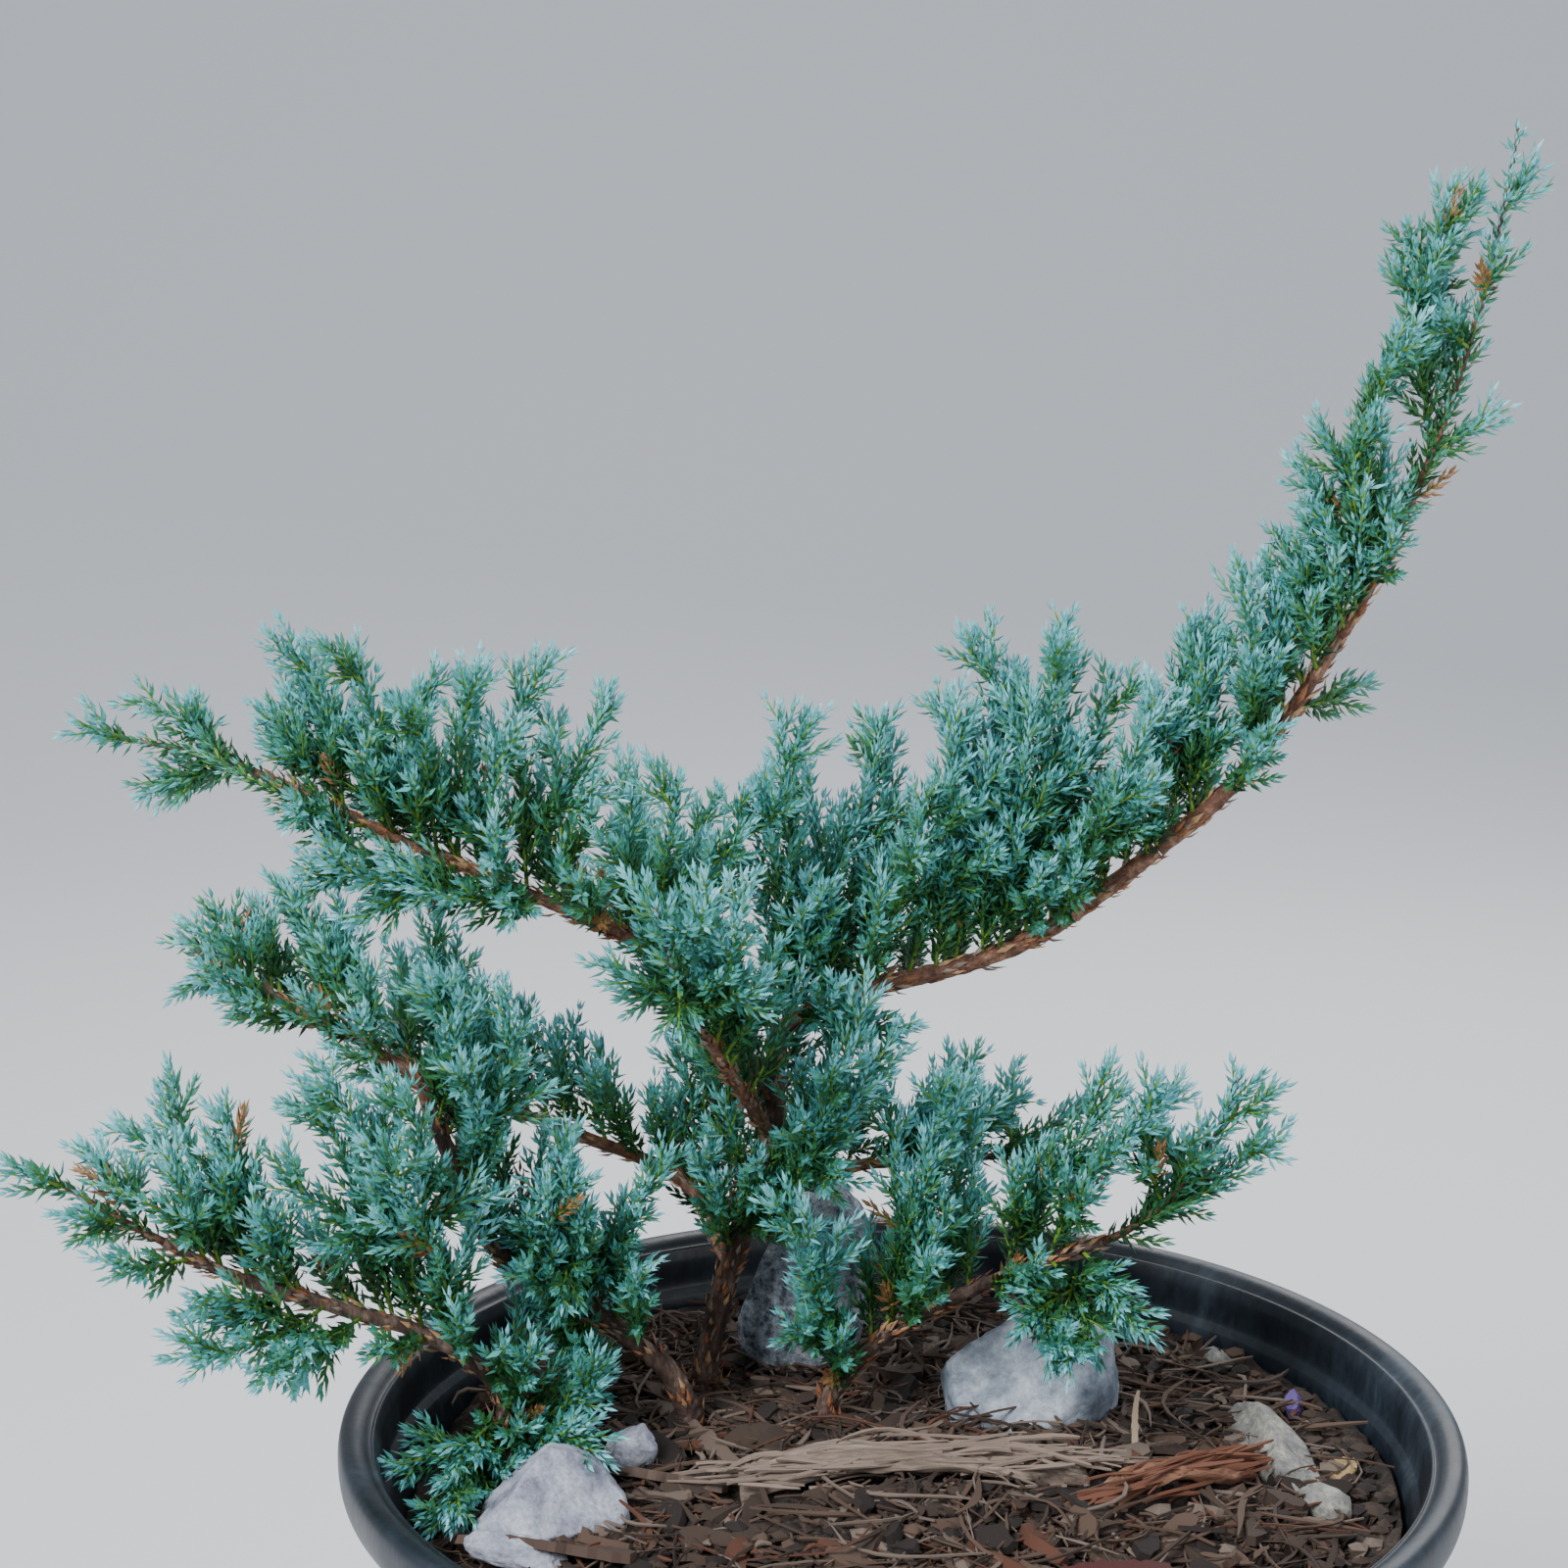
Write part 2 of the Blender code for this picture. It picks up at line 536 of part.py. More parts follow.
def arc(start, tip, heading, bend=0.45, count=9):
    """A quadratic curve from start to tip that sets off along heading."""
    length = float(np.linalg.norm(tip - start))
    middle = start + heading * length * bend
    t = np.linspace(0, 1, count)[:, None]
    return (1 - t) ** 2 * start + 2 * t * (1 - t) * middle + t**2 * tip


def resample(path, spacing, bare):
    """Points along the path: its start, the end of its bare foot, then one for each whorl."""
    steps = np.linalg.norm(np.diff(path, axis=0), axis=1)
    length = np.concatenate([[0], np.cumsum(steps)])
    total = length[-1]
    whorls = max(1, round((total - bare) / spacing))
    places = np.concatenate([[0.0], np.linspace(bare, total, whorls + 1)])
    return np.stack([np.interp(places, length, path[:, k]) for k in range(3)], axis=1)


def spray_mesh(points, leaves, twist):
    """A three-sided core through the points, with a whorl of three leaves between each two.

    A leaf whorl is a ring whose corners stand out and forward from the core, so the core's
    rings and the leaf rings take turns along the loft. A whorl of length nought is left out.
    """
    tangents, sides, ups = frames_along(points)
    vertices = []
    turn = twist
    share = np.linspace(0, 1, len(points))
    cores = CORE_RADIUS + (TIP_CORE_RADIUS - CORE_RADIUS) * share
    for i in range(len(points) - 1):
        rings = [(points[i], cores[i])]
        if i > 0 and leaves[i] > 0:
            angle = LEAF_ANGLE * (1.0 - 0.35 * share[i])
            leaf = leaves[i] * (1.0 - 0.30 * share[i] ** 3)
            out = cores[i] + leaf * math.sin(angle)
            rings.append((points[i] + tangents[i] * leaf * math.cos(angle), out))
        for centre, radius in rings:
            for corner in range(3):
                azimuth = turn + corner * 2 * math.pi / 3
                spoke = math.cos(azimuth) * sides[i] + math.sin(azimuth) * ups[i]
                vertices.append(centre + spoke * radius)
        turn += math.pi / 3
    vertices.append(points[-1] + tangents[-1] * 0.002)
    faces = [(2, 1, 0)]
    count = (len(vertices) - 1) // 3
    for ring in range(count - 1):
        low, high = 3 * ring, 3 * ring + 3
        for corner in range(3):
            after = (corner + 1) % 3
            faces.append((low + corner, low + after, high + corner))
            faces.append((low + after, high + after, high + corner))
    last = 3 * (count - 1)
    apex = len(vertices) - 1
    faces += [(last + corner, last + (corner + 1) % 3, apex) for corner in range(3)]
    return vertices, faces


def leaf_lengths(points, full, taken, owner):
    """The leaf length at each whorl: full, or shorter or none where something is in the way."""
    tangents = frames_along(points)[0]
    lengths = []
    for i, point in enumerate(points):
        found = 0.0
        for share in (1.0, 0.75, 0.5):
            length = full * share
            out = CORE_RADIUS + length * math.sin(LEAF_ANGLE)
            ahead = point + tangents[i] * length * math.cos(LEAF_ANGLE)
            apart = taken.gap(point + tangents[i] * 0.25 * length, ahead, out * 0.9, (owner,))
            if apart > CLEARANCE and clear_of_pot(ahead, out):
                found = length
                break
        lengths.append(found)
    return lengths


def shoot_from(path, place, azimuth, length, angle):
    """A side shoot: it leaves the path at this place and bends forward to the path's heading."""
    index = place * (len(path) - 1)
    low = min(int(index), len(path) - 2)
    start = path[low] + (path[low + 1] - path[low]) * (index - low)
    tangents, sides, ups = frames_along(path)
    spoke = math.cos(azimuth) * sides[low] + math.sin(azimuth) * ups[low]
    heading = math.cos(angle) * tangents[low] + math.sin(angle) * spoke
    tip = start + length * unit(heading + 0.35 * tangents[low])
    return arc(start, tip, heading, 0.4, 5)


def mass_shoots(mass, paths, dice):
    """The mass's twigs: main stem, forks and side shoots, each as (path, bare foot, leaf size)."""
    limb_points, limb_radii = paths[mass.limb]
    index = mass.seat * (len(limb_points) - 1)
    low = min(int(index), len(limb_points) - 2)
    centre = limb_points[low] + (limb_points[low + 1] - limb_points[low]) * (index - low)
    along = unit(limb_points[low + 1] - limb_points[low])
    tip = np.array(mass.tip)
    aim = unit(tip - centre)
    if mass.seat >= 1.0:
        start = limb_points[-1] + along * (CLEARANCE + 0.0001)
        heading = along
    else:
        outward = unit(aim - along * float(aim @ along))
        heading = unit(outward + 0.55 * along + 0.3 * aim)
        slope = abs(float(heading @ along))
        start = centre + outward * (limb_radii[low] + CLEARANCE + CORE_RADIUS * slope)
    main = arc(start, tip, heading)
    shoots = [(main, BARE_STEM, LEAF_LENGTH)]
    length = float(np.linalg.norm(tip - start))
    right = unit(np.cross(np.cross(aim, (1.0, 0.0, 0.0)), aim) + 1e-6)
    back = np.cross(aim, right)
    for number, degrees in enumerate(mass.forks):
        turn = math.radians(degrees)
        place = 0.20 + 0.12 * number
        root = main[round(place * (len(main) - 1))]
        sideways = math.cos(turn) * right + math.sin(turn) * back
        goal = tip + sideways * mass.spread - aim * FORK_DROP * length * (number + 1)
        out = unit(unit(goal - root) + 0.5 * sideways)
        shoots.append((arc(root, goal, out), BARE_STEM, LEAF_LENGTH * 0.9))
    azimuth = dice.uniform(0, 2 * math.pi)
    for stem, _, _ in list(shoots):
        stem_length = float(np.linalg.norm(stem[-1] - stem[0]))
        count = min(mass.shoots, round(0.62 * stem_length / SHOOT_SPACING))
        for number in range(count):
            place = 0.22 + 0.60 * number / max(count - 1, 1)
            reach = SHOOT_LENGTH * (1.15 - 0.55 * place) * dice.uniform(0.85, 1.1)
            shoots.append((
                shoot_from(stem, place, azimuth, min(reach, 0.45 * stem_length), SHOOT_ANGLE),
                0.003, LEAF_LENGTH * 0.8))
            azimuth += GOLDEN_ANGLE
    return shoots


def keep_one_body(mesh):
    """Drops loose scraps and sealed hollows: only the largest outer skin of the mesh stays."""
    shape = bmesh.new()
    shape.from_mesh(mesh)
    bmesh.ops.triangulate(shape, faces=shape.faces)
    left = set(shape.faces)
    skins = []
    while left:
        face = left.pop()
        skin = [face]
        queue = [face]
        while queue:
            for edge in queue.pop().edges:
                for other in edge.link_faces:
                    if other in left:
                        left.remove(other)
                        skin.append(other)
                        queue.append(other)
        skins.append(skin)
    skins.sort(key=len)
    for skin in skins[:-1]:
        bmesh.ops.delete(shape, geom=skin, context="FACES")
    loose = [vertex for vertex in shape.verts if not vertex.link_faces]
    bmesh.ops.delete(shape, geom=loose, context="VERTS")
    shape.to_mesh(mesh)
    shape.free()


def join_sprays(name, sprays, dice):
    """The sprays' lofts joined by one Boolean union on a collection, as one mesh."""
    helpers = new_collection(name + "_shoots")
    shells = []
    for index, (points, lengths) in enumerate(sprays):
        vertices, faces = spray_mesh(points, lengths, dice.uniform(0, 2))
        mesh = bpy.data.meshes.new(f"{name}_{index}")
        mesh.from_pydata([tuple(vertex) for vertex in vertices], [], faces)
        shells.append(add_object(mesh.name, mesh, helpers, smooth=False))
    base = shells[0]
    if len(shells) > 1:
        helpers.objects.unlink(base)
        bpy.context.scene.collection.objects.link(base)
        union = base.modifiers.new("union", "BOOLEAN")
        union.operation = "UNION"
        union.solver = "EXACT"
        union.operand_type = "COLLECTION"
        union.collection = helpers
    joined = evaluated_mesh(base)
    for shell in shells:
        bpy.data.objects.remove(shell)
    bpy.data.collections.remove(helpers)
    keep_one_body(joined)
    joined.name = name
    return joined


def make_mass(mass, paths, taken, collection, material, number):
    """One mass of foliage: its sprays, joined into one closed solid.

    A spray that would touch a limb, another mass, the pot or the ground is skipped.
    """
    dice = random.Random(SEED + number)
    sprays = []
    for index, (path, bare, leaf) in enumerate(mass_shoots(mass, paths, dice)):
        points = resample(path, WHORL_SPACING, bare)
        blocked = any(
            taken.gap(low, high, CORE_RADIUS, (mass.name,)) < CLEARANCE
            or not clear_of_pot(high, CORE_RADIUS)
            for low, high in zip(points[1:], points[2:]))
        if blocked and index > 0:
            continue
        if blocked:
            print("the stem of", mass.name, "touches something")
        sprays.append((points, leaf_lengths(points, leaf, taken, mass.name)))
    joined = join_sprays(mass.name, sprays, dice)
    item = add_object(mass.name, joined, collection, material, smooth=False)
    for points, lengths in sprays:
        tangents = frames_along(points)[0]
        for i in range(len(points) - 1):
            taken.add(points[i], points[i + 1], CORE_RADIUS, mass.name)
            if i > 0 and lengths[i] > 0:
                out = CORE_RADIUS + lengths[i] * math.sin(LEAF_ANGLE)
                ahead = points[i] + tangents[i] * lengths[i] * math.cos(LEAF_ANGLE)
                taken.add(points[i] + tangents[i] * 0.3 * lengths[i], ahead, out * 0.9, mass.name)
    return item


def fill_taken_space(paths):
    """The space that limbs, stones and mulch fill before any foliage grows."""
    taken = TakenSpace()
    for name, (path, radii) in paths.items():
        for i in range(len(path) - 1):
            taken.add(path[i], path[i + 1], max(radii[i], radii[i + 1]), name)
    for stone in STONES:
        low, girth, height = sorted(stone.radii)
        along = np.eye(3)[stone.radii.index(height)] * (height - girth)
        taken.add(np.array(stone.centre) - along, np.array(stone.centre) + along, girth, stone.name)
    for chip in CHIPS:
        top = np.array((0.0, 0.0, chip.arch))
        taken.add(np.array(chip.start) + top, np.array(chip.end) + top, chip.width / 2, chip.name)
    return taken


def main():
    clear_scene()
    shrub = new_collection(OBJECT_NAME)
    cutters = new_collection("cutters")
    black_plastic = new_material("black_plastic", (0.035, 0.045, 0.060), 0.45)
    potting_mix = new_material("potting_mix", (0.060, 0.045, 0.038), 0.95)
    grey_stone = new_material("grey_stone", (0.42, 0.46, 0.50), 0.60)
    bark_mulch = new_material("bark_mulch", (0.23, 0.17, 0.13), 0.85)
    bark = new_material("bark", (0.20, 0.12, 0.08), 0.85)
    blue_leaf = new_material("blue_leaf", (0.22, 0.52, 0.52), 0.55)

    make_pot(shrub, cutters, black_plastic)
    paths = make_limbs(shrub, cutters, bark)
    rooted = [limb.name for limb in LIMBS if limb.parent is None]
    feet = [(name, *paths[name][0][0], paths[name][1][0]) for name in rooted]
    soil = make_soil(shrub, cutters, potting_mix, feet)
    trimmer = raised_soil(soil, cutters)
    for stone in STONES:
        make_stone(stone, trimmer, shrub, grey_stone)
    for chip in CHIPS:
        make_chip(chip, trimmer, shrub, bark_mulch)
    taken = fill_taken_space(paths)
    for number, mass in enumerate(MASSES):
        make_mass(mass, paths, taken, shrub, blue_leaf, number)


if __name__ == "__main__":
    main()
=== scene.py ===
import json
import math
import random
from collections import namedtuple

import bpy
import numpy as np
from mathutils import Euler, Matrix, Vector

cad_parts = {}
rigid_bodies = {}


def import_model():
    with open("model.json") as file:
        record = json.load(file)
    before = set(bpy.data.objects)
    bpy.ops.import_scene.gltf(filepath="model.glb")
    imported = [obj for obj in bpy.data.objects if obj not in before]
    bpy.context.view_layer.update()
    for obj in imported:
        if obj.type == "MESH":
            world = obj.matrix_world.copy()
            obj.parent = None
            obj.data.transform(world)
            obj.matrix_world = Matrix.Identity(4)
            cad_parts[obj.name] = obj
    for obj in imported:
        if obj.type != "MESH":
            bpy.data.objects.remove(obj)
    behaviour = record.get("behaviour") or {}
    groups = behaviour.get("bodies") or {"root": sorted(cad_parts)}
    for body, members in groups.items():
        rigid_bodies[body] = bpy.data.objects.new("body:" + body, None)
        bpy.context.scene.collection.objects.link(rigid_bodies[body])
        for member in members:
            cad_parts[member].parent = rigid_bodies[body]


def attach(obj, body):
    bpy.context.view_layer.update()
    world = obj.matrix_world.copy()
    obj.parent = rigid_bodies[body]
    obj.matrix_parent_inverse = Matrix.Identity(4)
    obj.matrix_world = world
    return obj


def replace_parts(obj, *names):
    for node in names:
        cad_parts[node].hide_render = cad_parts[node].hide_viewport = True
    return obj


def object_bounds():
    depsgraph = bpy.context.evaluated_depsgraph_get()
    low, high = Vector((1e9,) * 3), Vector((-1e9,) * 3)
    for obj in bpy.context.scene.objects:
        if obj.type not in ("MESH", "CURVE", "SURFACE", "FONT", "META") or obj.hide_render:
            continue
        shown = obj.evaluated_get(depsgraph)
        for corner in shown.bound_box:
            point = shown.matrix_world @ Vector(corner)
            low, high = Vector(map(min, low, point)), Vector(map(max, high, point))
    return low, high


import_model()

cad_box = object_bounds()

# The pot is a blow-moulded nursery container of recycled black polythene: one turned shell with a
# rolled lip, a ledge inside under the lip, and drain holes pressed in at its foot. It is scuffed and
# dusty round the lip, which shows slate blue where it takes the light.
POT_HEIGHT = 0.240
RIM_RADIUS = 0.140
WALL_TOP_RADIUS = 0.1316
WALL_FOOT_RADIUS = 0.1130
INNER_TOP_RADIUS = 0.1285
INNER_FOOT_RADIUS = 0.1105
INNER_LEDGE_Z = 0.227
BASE_THICKNESS = 0.0028
FOOT_BEVEL = 0.0030
POT_COLUMNS = 220
DRAIN_HOLES = 6
DRAIN_HOLE_RADIUS = 0.007
DRAIN_HOLE_DEPTH = 0.0045
MIDDLE_RING = 0.010
FOOT_CURVE = 0.004
OUTER_FACE_SHARE = 0.7


def skin(rings):
    """Points and triangles of closed surfaces, one for each array of rings in rings[n, row, column].

    Neighbouring rings are joined by two triangles for each step round, and a pole at the middle of
    the first and of the last ring closes the ends.
    """
    count, rows, columns = rings.shape[:3]
    poles = rings[:, [0, -1]].mean(axis=2)
    points = np.concatenate([rings.reshape(count, rows * columns, 3), poles], axis=1)
    row, column = np.meshgrid(np.arange(rows - 1), np.arange(columns), indexing="ij")
    after = (column + 1) % columns
    a, b = row * columns + column, row * columns + after
    c, d = b + columns, a + columns
    sides = np.concatenate([np.stack([a, b, c], -1), np.stack([a, c, d], -1)]).reshape(-1, 3)
    around = np.arange(columns)
    onward = (around + 1) % columns
    last = (rows - 1) * columns
    first_pole = np.full(columns, rows * columns)
    ends = np.concatenate([
        np.stack([first_pole, onward, around], -1),
        np.stack([first_pole + 1, last + around, last + onward], -1)])
    one = np.concatenate([sides, ends])
    offsets = np.arange(count)[:, None, None] * points.shape[1]
    return points.reshape(-1, 3), (one[None] + offsets).reshape(-1, 3)


def add_piece(name, points, triangles, material, slot, smooth=True):
    """A mesh piece of these points and triangles that rides with the plant.

    The triangles are turned round where the volume inside them, a sixth of the sum of their
    triple products, comes out negative.
    """
    corners = points[triangles]
    volume = np.einsum("ij,ij->i", corners[:, 0], np.cross(corners[:, 1], corners[:, 2])).sum()
    if volume < 0:
        triangles = triangles[:, ::-1]
    mesh = bpy.data.meshes.new(name)
    mesh.vertices.add(len(points))
    mesh.vertices.foreach_set("co", np.ascontiguousarray(points, np.float32).ravel())
    mesh.loops.add(triangles.size)
    mesh.loops.foreach_set("vertex_index", np.ascontiguousarray(triangles, np.int32).ravel())
    mesh.polygons.add(len(triangles))
    mesh.polygons.foreach_set("loop_start", np.arange(0, triangles.size, 3, dtype=np.int32))
    mesh.polygons.foreach_set("use_smooth", np.full(len(triangles), smooth))
    mesh.update(calc_edges=True)
    mesh.materials.append(material)
    piece = bpy.data.objects.new(name, mesh)
    bpy.context.scene.collection.objects.link(piece)
    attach(piece, "root")
    return piece


def waves(points, size, seed, count=26):
    """Smooth relief, mostly from -1 to 1: the sum of sine waves of about this length, each with a
    direction, length and phase of its own, over the root of their number."""
    dice = np.random.default_rng(seed)
    directions = dice.normal(size=(count, 3))
    directions /= np.linalg.norm(directions, axis=1)[:, None]
    pace = directions * (2 * math.pi / size) * dice.uniform(0.6, 1.6, (count, 1))
    return np.sin(points @ pace.T + dice.uniform(0, 2 * math.pi, count)).sum(axis=-1) / math.sqrt(count)


def weathering_group():
    """Node group: a coarse mask for colour and a fine grain for colour and relief, both noises."""
    group = bpy.data.node_groups.new("weathering", "ShaderNodeTree")
    group.interface.new_socket("Vector", in_out="INPUT", socket_type="NodeSocketVector")
    group.interface.new_socket("Coarse Scale", in_out="INPUT", socket_type="NodeSocketFloat")
    group.interface.new_socket("Fine Scale", in_out="INPUT", socket_type="NodeSocketFloat")
    group.interface.new_socket("Mask", in_out="OUTPUT", socket_type="NodeSocketFloat")
    group.interface.new_socket("Grain", in_out="OUTPUT", socket_type="NodeSocketFloat")
    entry = group.nodes.new("NodeGroupInput")
    leave = group.nodes.new("NodeGroupOutput")
    for scale, out, detail in (("Coarse Scale", "Mask", 5.0), ("Fine Scale", "Grain", 8.0)):
        cloud = group.nodes.new("ShaderNodeTexNoise")
        cloud.inputs["Detail"].default_value = detail
        cloud.inputs["Roughness"].default_value = 0.62
        group.links.new(entry.outputs["Vector"], cloud.inputs["Vector"])
        group.links.new(entry.outputs[scale], cloud.inputs["Scale"])
        group.links.new(cloud.outputs["Fac"], leave.inputs[out])
    return group


WEATHERING = weathering_group()
# The noises run mostly between these two values, which the shades and the gloss are stretched over
NOISE_RANGE = {"From Min": 0.30, "From Max": 0.70}


def fill(node, values):
    """Gives the node's inputs these values."""
    for socket, value in values.items():
        node.inputs[socket].default_value = value
    return node


def weathered(name, stops, coarse, fine, roughness, relief, stretch=(1, 1, 1), grain=0.5):
    """A material whose colour runs through the stops by a coarse noise, darkened by a fine one.

    stops are (place, colour), roughness is (least, most), relief is the bump's height in metres,
    and stretch scales the pattern's axes.
    """
    material = bpy.data.materials.new(name)
    material.use_nodes = True
    tree = material.node_tree
    shader = tree.nodes["Principled BSDF"]
    place = tree.nodes.new("ShaderNodeTexCoord")
    mapping = fill(tree.nodes.new("ShaderNodeMapping"), {"Scale": stretch})
    wear = tree.nodes.new("ShaderNodeGroup")
    wear.node_tree = WEATHERING
    fill(wear, {"Coarse Scale": coarse, "Fine Scale": fine})
    ramp = tree.nodes.new("ShaderNodeValToRGB")
    while len(ramp.color_ramp.elements) < len(stops):
        ramp.color_ramp.elements.new(0.5)
    for element, (position, colour) in zip(ramp.color_ramp.elements, stops):
        element.position = position
        element.color = (*colour, 1.0)
    shades = fill(tree.nodes.new("ShaderNodeMapRange"),
                  {**NOISE_RANGE, "To Min": 1.0 - grain, "To Max": 1.0 + 0.5 * grain})
    tint = tree.nodes.new("ShaderNodeMix")
    tint.data_type = "RGBA"
    tint.blend_type = "MULTIPLY"
    fill(tint, {"Factor": 1.0})
    rough = fill(tree.nodes.new("ShaderNodeMapRange"),
                 {**NOISE_RANGE, "To Min": roughness[0], "To Max": roughness[1]})
    bump = fill(tree.nodes.new("ShaderNodeBump"), {"Distance": relief, "Strength": 1.0})
    for source, result, target, socket in (
            (place, "Object", mapping, "Vector"), (mapping, "Vector", wear, "Vector"),
            (wear, "Mask", ramp, "Fac"), (wear, "Grain", shades, "Value"),
            (ramp, "Color", tint, "A"), (shades, "Result", tint, "B"),
            (tint, "Result", shader, "Base Color"), (wear, "Mask", rough, "Value"),
            (rough, "Result", shader, "Roughness"), (wear, "Grain", bump, "Height"),
            (bump, "Normal", shader, "Normal")):
        tree.links.new(source.outputs[result], target.inputs[socket])
    return material


def rounded(outline, times):
    """Corner cutting: each pass replaces a corner by points a quarter along its two sides."""
    outline = np.array(outline, float)
    for _ in range(times):
        low, high = outline[:-1], outline[1:]
        cut = np.stack([0.75 * low + 0.25 * high, 0.25 * low + 0.75 * high], 1).reshape(-1, 2)
        outline = np.concatenate([outline[:1], cut, outline[-1:]])
    return outline


# The half section as (radius, height), from the inner floor over the lip to the underside
POT_SECTION = [
    (MIDDLE_RING, BASE_THICKNESS), (INNER_FOOT_RADIUS - FOOT_CURVE, BASE_THICKNESS),
    (INNER_FOOT_RADIUS + 0.001, 0.010), (INNER_TOP_RADIUS - 0.0022, INNER_LEDGE_Z - 0.004),
    (INNER_TOP_RADIUS - 0.0002, INNER_LEDGE_Z - 0.0012), (INNER_TOP_RADIUS + 0.0008, INNER_LEDGE_Z),
    (INNER_TOP_RADIUS + 0.0013, 0.2335), (0.1303, 0.2355), (0.1314, 0.2380), (0.1322, 0.2372),
    (0.1345, 0.2398), (0.1385, 0.2402), (RIM_RADIUS + 0.0001, 0.2378), (RIM_RADIUS + 0.0001, 0.2315),
    (RIM_RADIUS - 0.0012, 0.2276), (WALL_TOP_RADIUS + 0.0022, 0.2276), (WALL_TOP_RADIUS, 0.2272),
    (WALL_TOP_RADIUS - 0.0006, 0.2200), (WALL_FOOT_RADIUS + 0.0012, 0.0120),
    (WALL_FOOT_RADIUS, 0.0050), (WALL_FOOT_RADIUS - FOOT_BEVEL, 0.0), (MIDDLE_RING, 0.0)]

pot_outline = rounded(POT_SECTION, 3)
around = np.linspace(0, 2 * math.pi, POT_COLUMNS, endpoint=False)
pot_radius = np.repeat(pot_outline[:, :1], POT_COLUMNS, axis=1)
pot_z = np.repeat(pot_outline[:, 1:], POT_COLUMNS, axis=1)
outer = np.arange(len(pot_outline))[:, None] > OUTER_FACE_SHARE * len(pot_outline)
# Each drain hole is a dent: full depth within a quarter of its radius, none past one and a quarter
for hole in range(DRAIN_HOLES):
    turn = 2 * math.pi * (hole + 0.5) / DRAIN_HOLES
    across = WALL_FOOT_RADIUS * np.angle(np.exp(1j * (around - turn)))[None]
    away = np.sqrt(across**2 + pot_z**2) / DRAIN_HOLE_RADIUS
    near_foot = outer & (pot_radius > WALL_FOOT_RADIUS - 2 * FOOT_BEVEL)
    pot_radius -= np.where(near_foot, DRAIN_HOLE_DEPTH * np.clip(1.25 - away, 0, 1) ** 0.5, 0)
pot_rings = np.stack([pot_radius * np.cos(around), pot_radius * np.sin(around), pot_z], -1)

black_plastic = weathered(
    "black_plastic", ((0.30, (0.006, 0.009, 0.014)), (0.52, (0.014, 0.021, 0.031)),
                      (0.70, (0.048, 0.068, 0.092))),
    coarse=26.0, fine=420.0, roughness=(0.30, 0.55), relief=0.00012, stretch=(1, 1, 0.45), grain=0.45)
pot = add_piece("nursery_pot", *skin(pot_rings[None]), black_plastic, "pot_plastic")
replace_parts(pot, "pot")


# The potting mix is composted bark and peat, dark and moist. Its top is heaped at the front and sunk
# at the left wall, and crumbs, bark chips and shreds of fibre of every size lie loose on it.
GROUND_Z = 0.2215
GROUND_SWELLS = (
    (0.0085, 0.010, -0.035, 0.055, 0.045),
    (-0.0150, -0.118, -0.010, 0.026, 0.050),
)
SOIL_WALL_GAP = 0.0009
SOIL_EDGE_INSET = 0.0022
SOIL_FLOOR_GAP = 0.0005
SOIL_ROWS = 120
SOIL_COLUMNS = 380
# Lumps on the mix: height, length across and seed of each sort
SOIL_LUMPS = ((0.0011, 0.022, 1), (0.0007, 0.008, 2), (0.00035, 0.003, 3))


def ground(x, y):
    """Height of the mix: a level plus bell-shaped swells, each falling off with distance squared."""
    height = GROUND_Z + 0.0 * x
    for rise, x0, y0, reach_x, reach_y in GROUND_SWELLS:
        height = height + rise * np.exp(-(((x - x0) / reach_x) ** 2) - (((y - y0) / reach_y) ** 2))
    return height


soil_edge = INNER_FOOT_RADIUS + (INNER_TOP_RADIUS - INNER_FOOT_RADIUS) * GROUND_Z / INNER_LEDGE_Z
soil_edge -= SOIL_WALL_GAP + SOIL_EDGE_INSET
spread = np.linspace(0.01, 1, SOIL_ROWS)[:, None] * soil_edge
turns = np.linspace(0, 2 * math.pi, SOIL_COLUMNS, endpoint=False)[None]
soil_x, soil_y = spread * np.cos(turns), spread * np.sin(turns)
flat = np.stack([soil_x, soil_y, 0 * soil_x], -1)
lumpy = sum(height * waves(flat, across, seed) for height, across, seed in SOIL_LUMPS)
soil_top = np.stack([soil_x, soil_y, ground(soil_x, soil_y) + lumpy], -1)
floor_edge = INNER_FOOT_RADIUS - FOOT_CURVE
floor_ring = np.stack([
    floor_edge * np.cos(turns[0]), floor_edge * np.sin(turns[0]),
    np.full(SOIL_COLUMNS, BASE_THICKNESS + SOIL_FLOOR_GAP)], -1)[None]

potting_mix = weathered(
    "potting_mix", ((0.34, (0.012, 0.008, 0.006)), (0.50, (0.040, 0.027, 0.020)),
                    (0.66, (0.095, 0.066, 0.050))),
    coarse=150.0, fine=900.0, roughness=(0.80, 1.0), relief=0.0006, grain=0.7)
soil = add_piece("potting_mix", *skin(np.concatenate([soil_top, floor_ring])[None]), potting_mix,
                 "potting_mix")
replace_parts(soil, "soil")


def plain(name, colour, roughness):
    """A material of one base colour, for pieces whose colours are dealt out piece by piece."""
    material = bpy.data.materials.new(name)
    material.use_nodes = True
    shader = material.node_tree.nodes["Principled BSDF"]
    shader.inputs["Base Color"].default_value = (*colour, 1.0)
    shader.inputs["Roughness"].default_value = roughness
    return material


# The middle lines of the two torn pieces of bark, and how far from them the mix stays bare
KEPT_CLEAR = (((-0.040, -0.022), (0.046, -0.014), 0.010), ((0.050, -0.030), (0.088, -0.006), 0.007))
FULL_TURN = 6.28


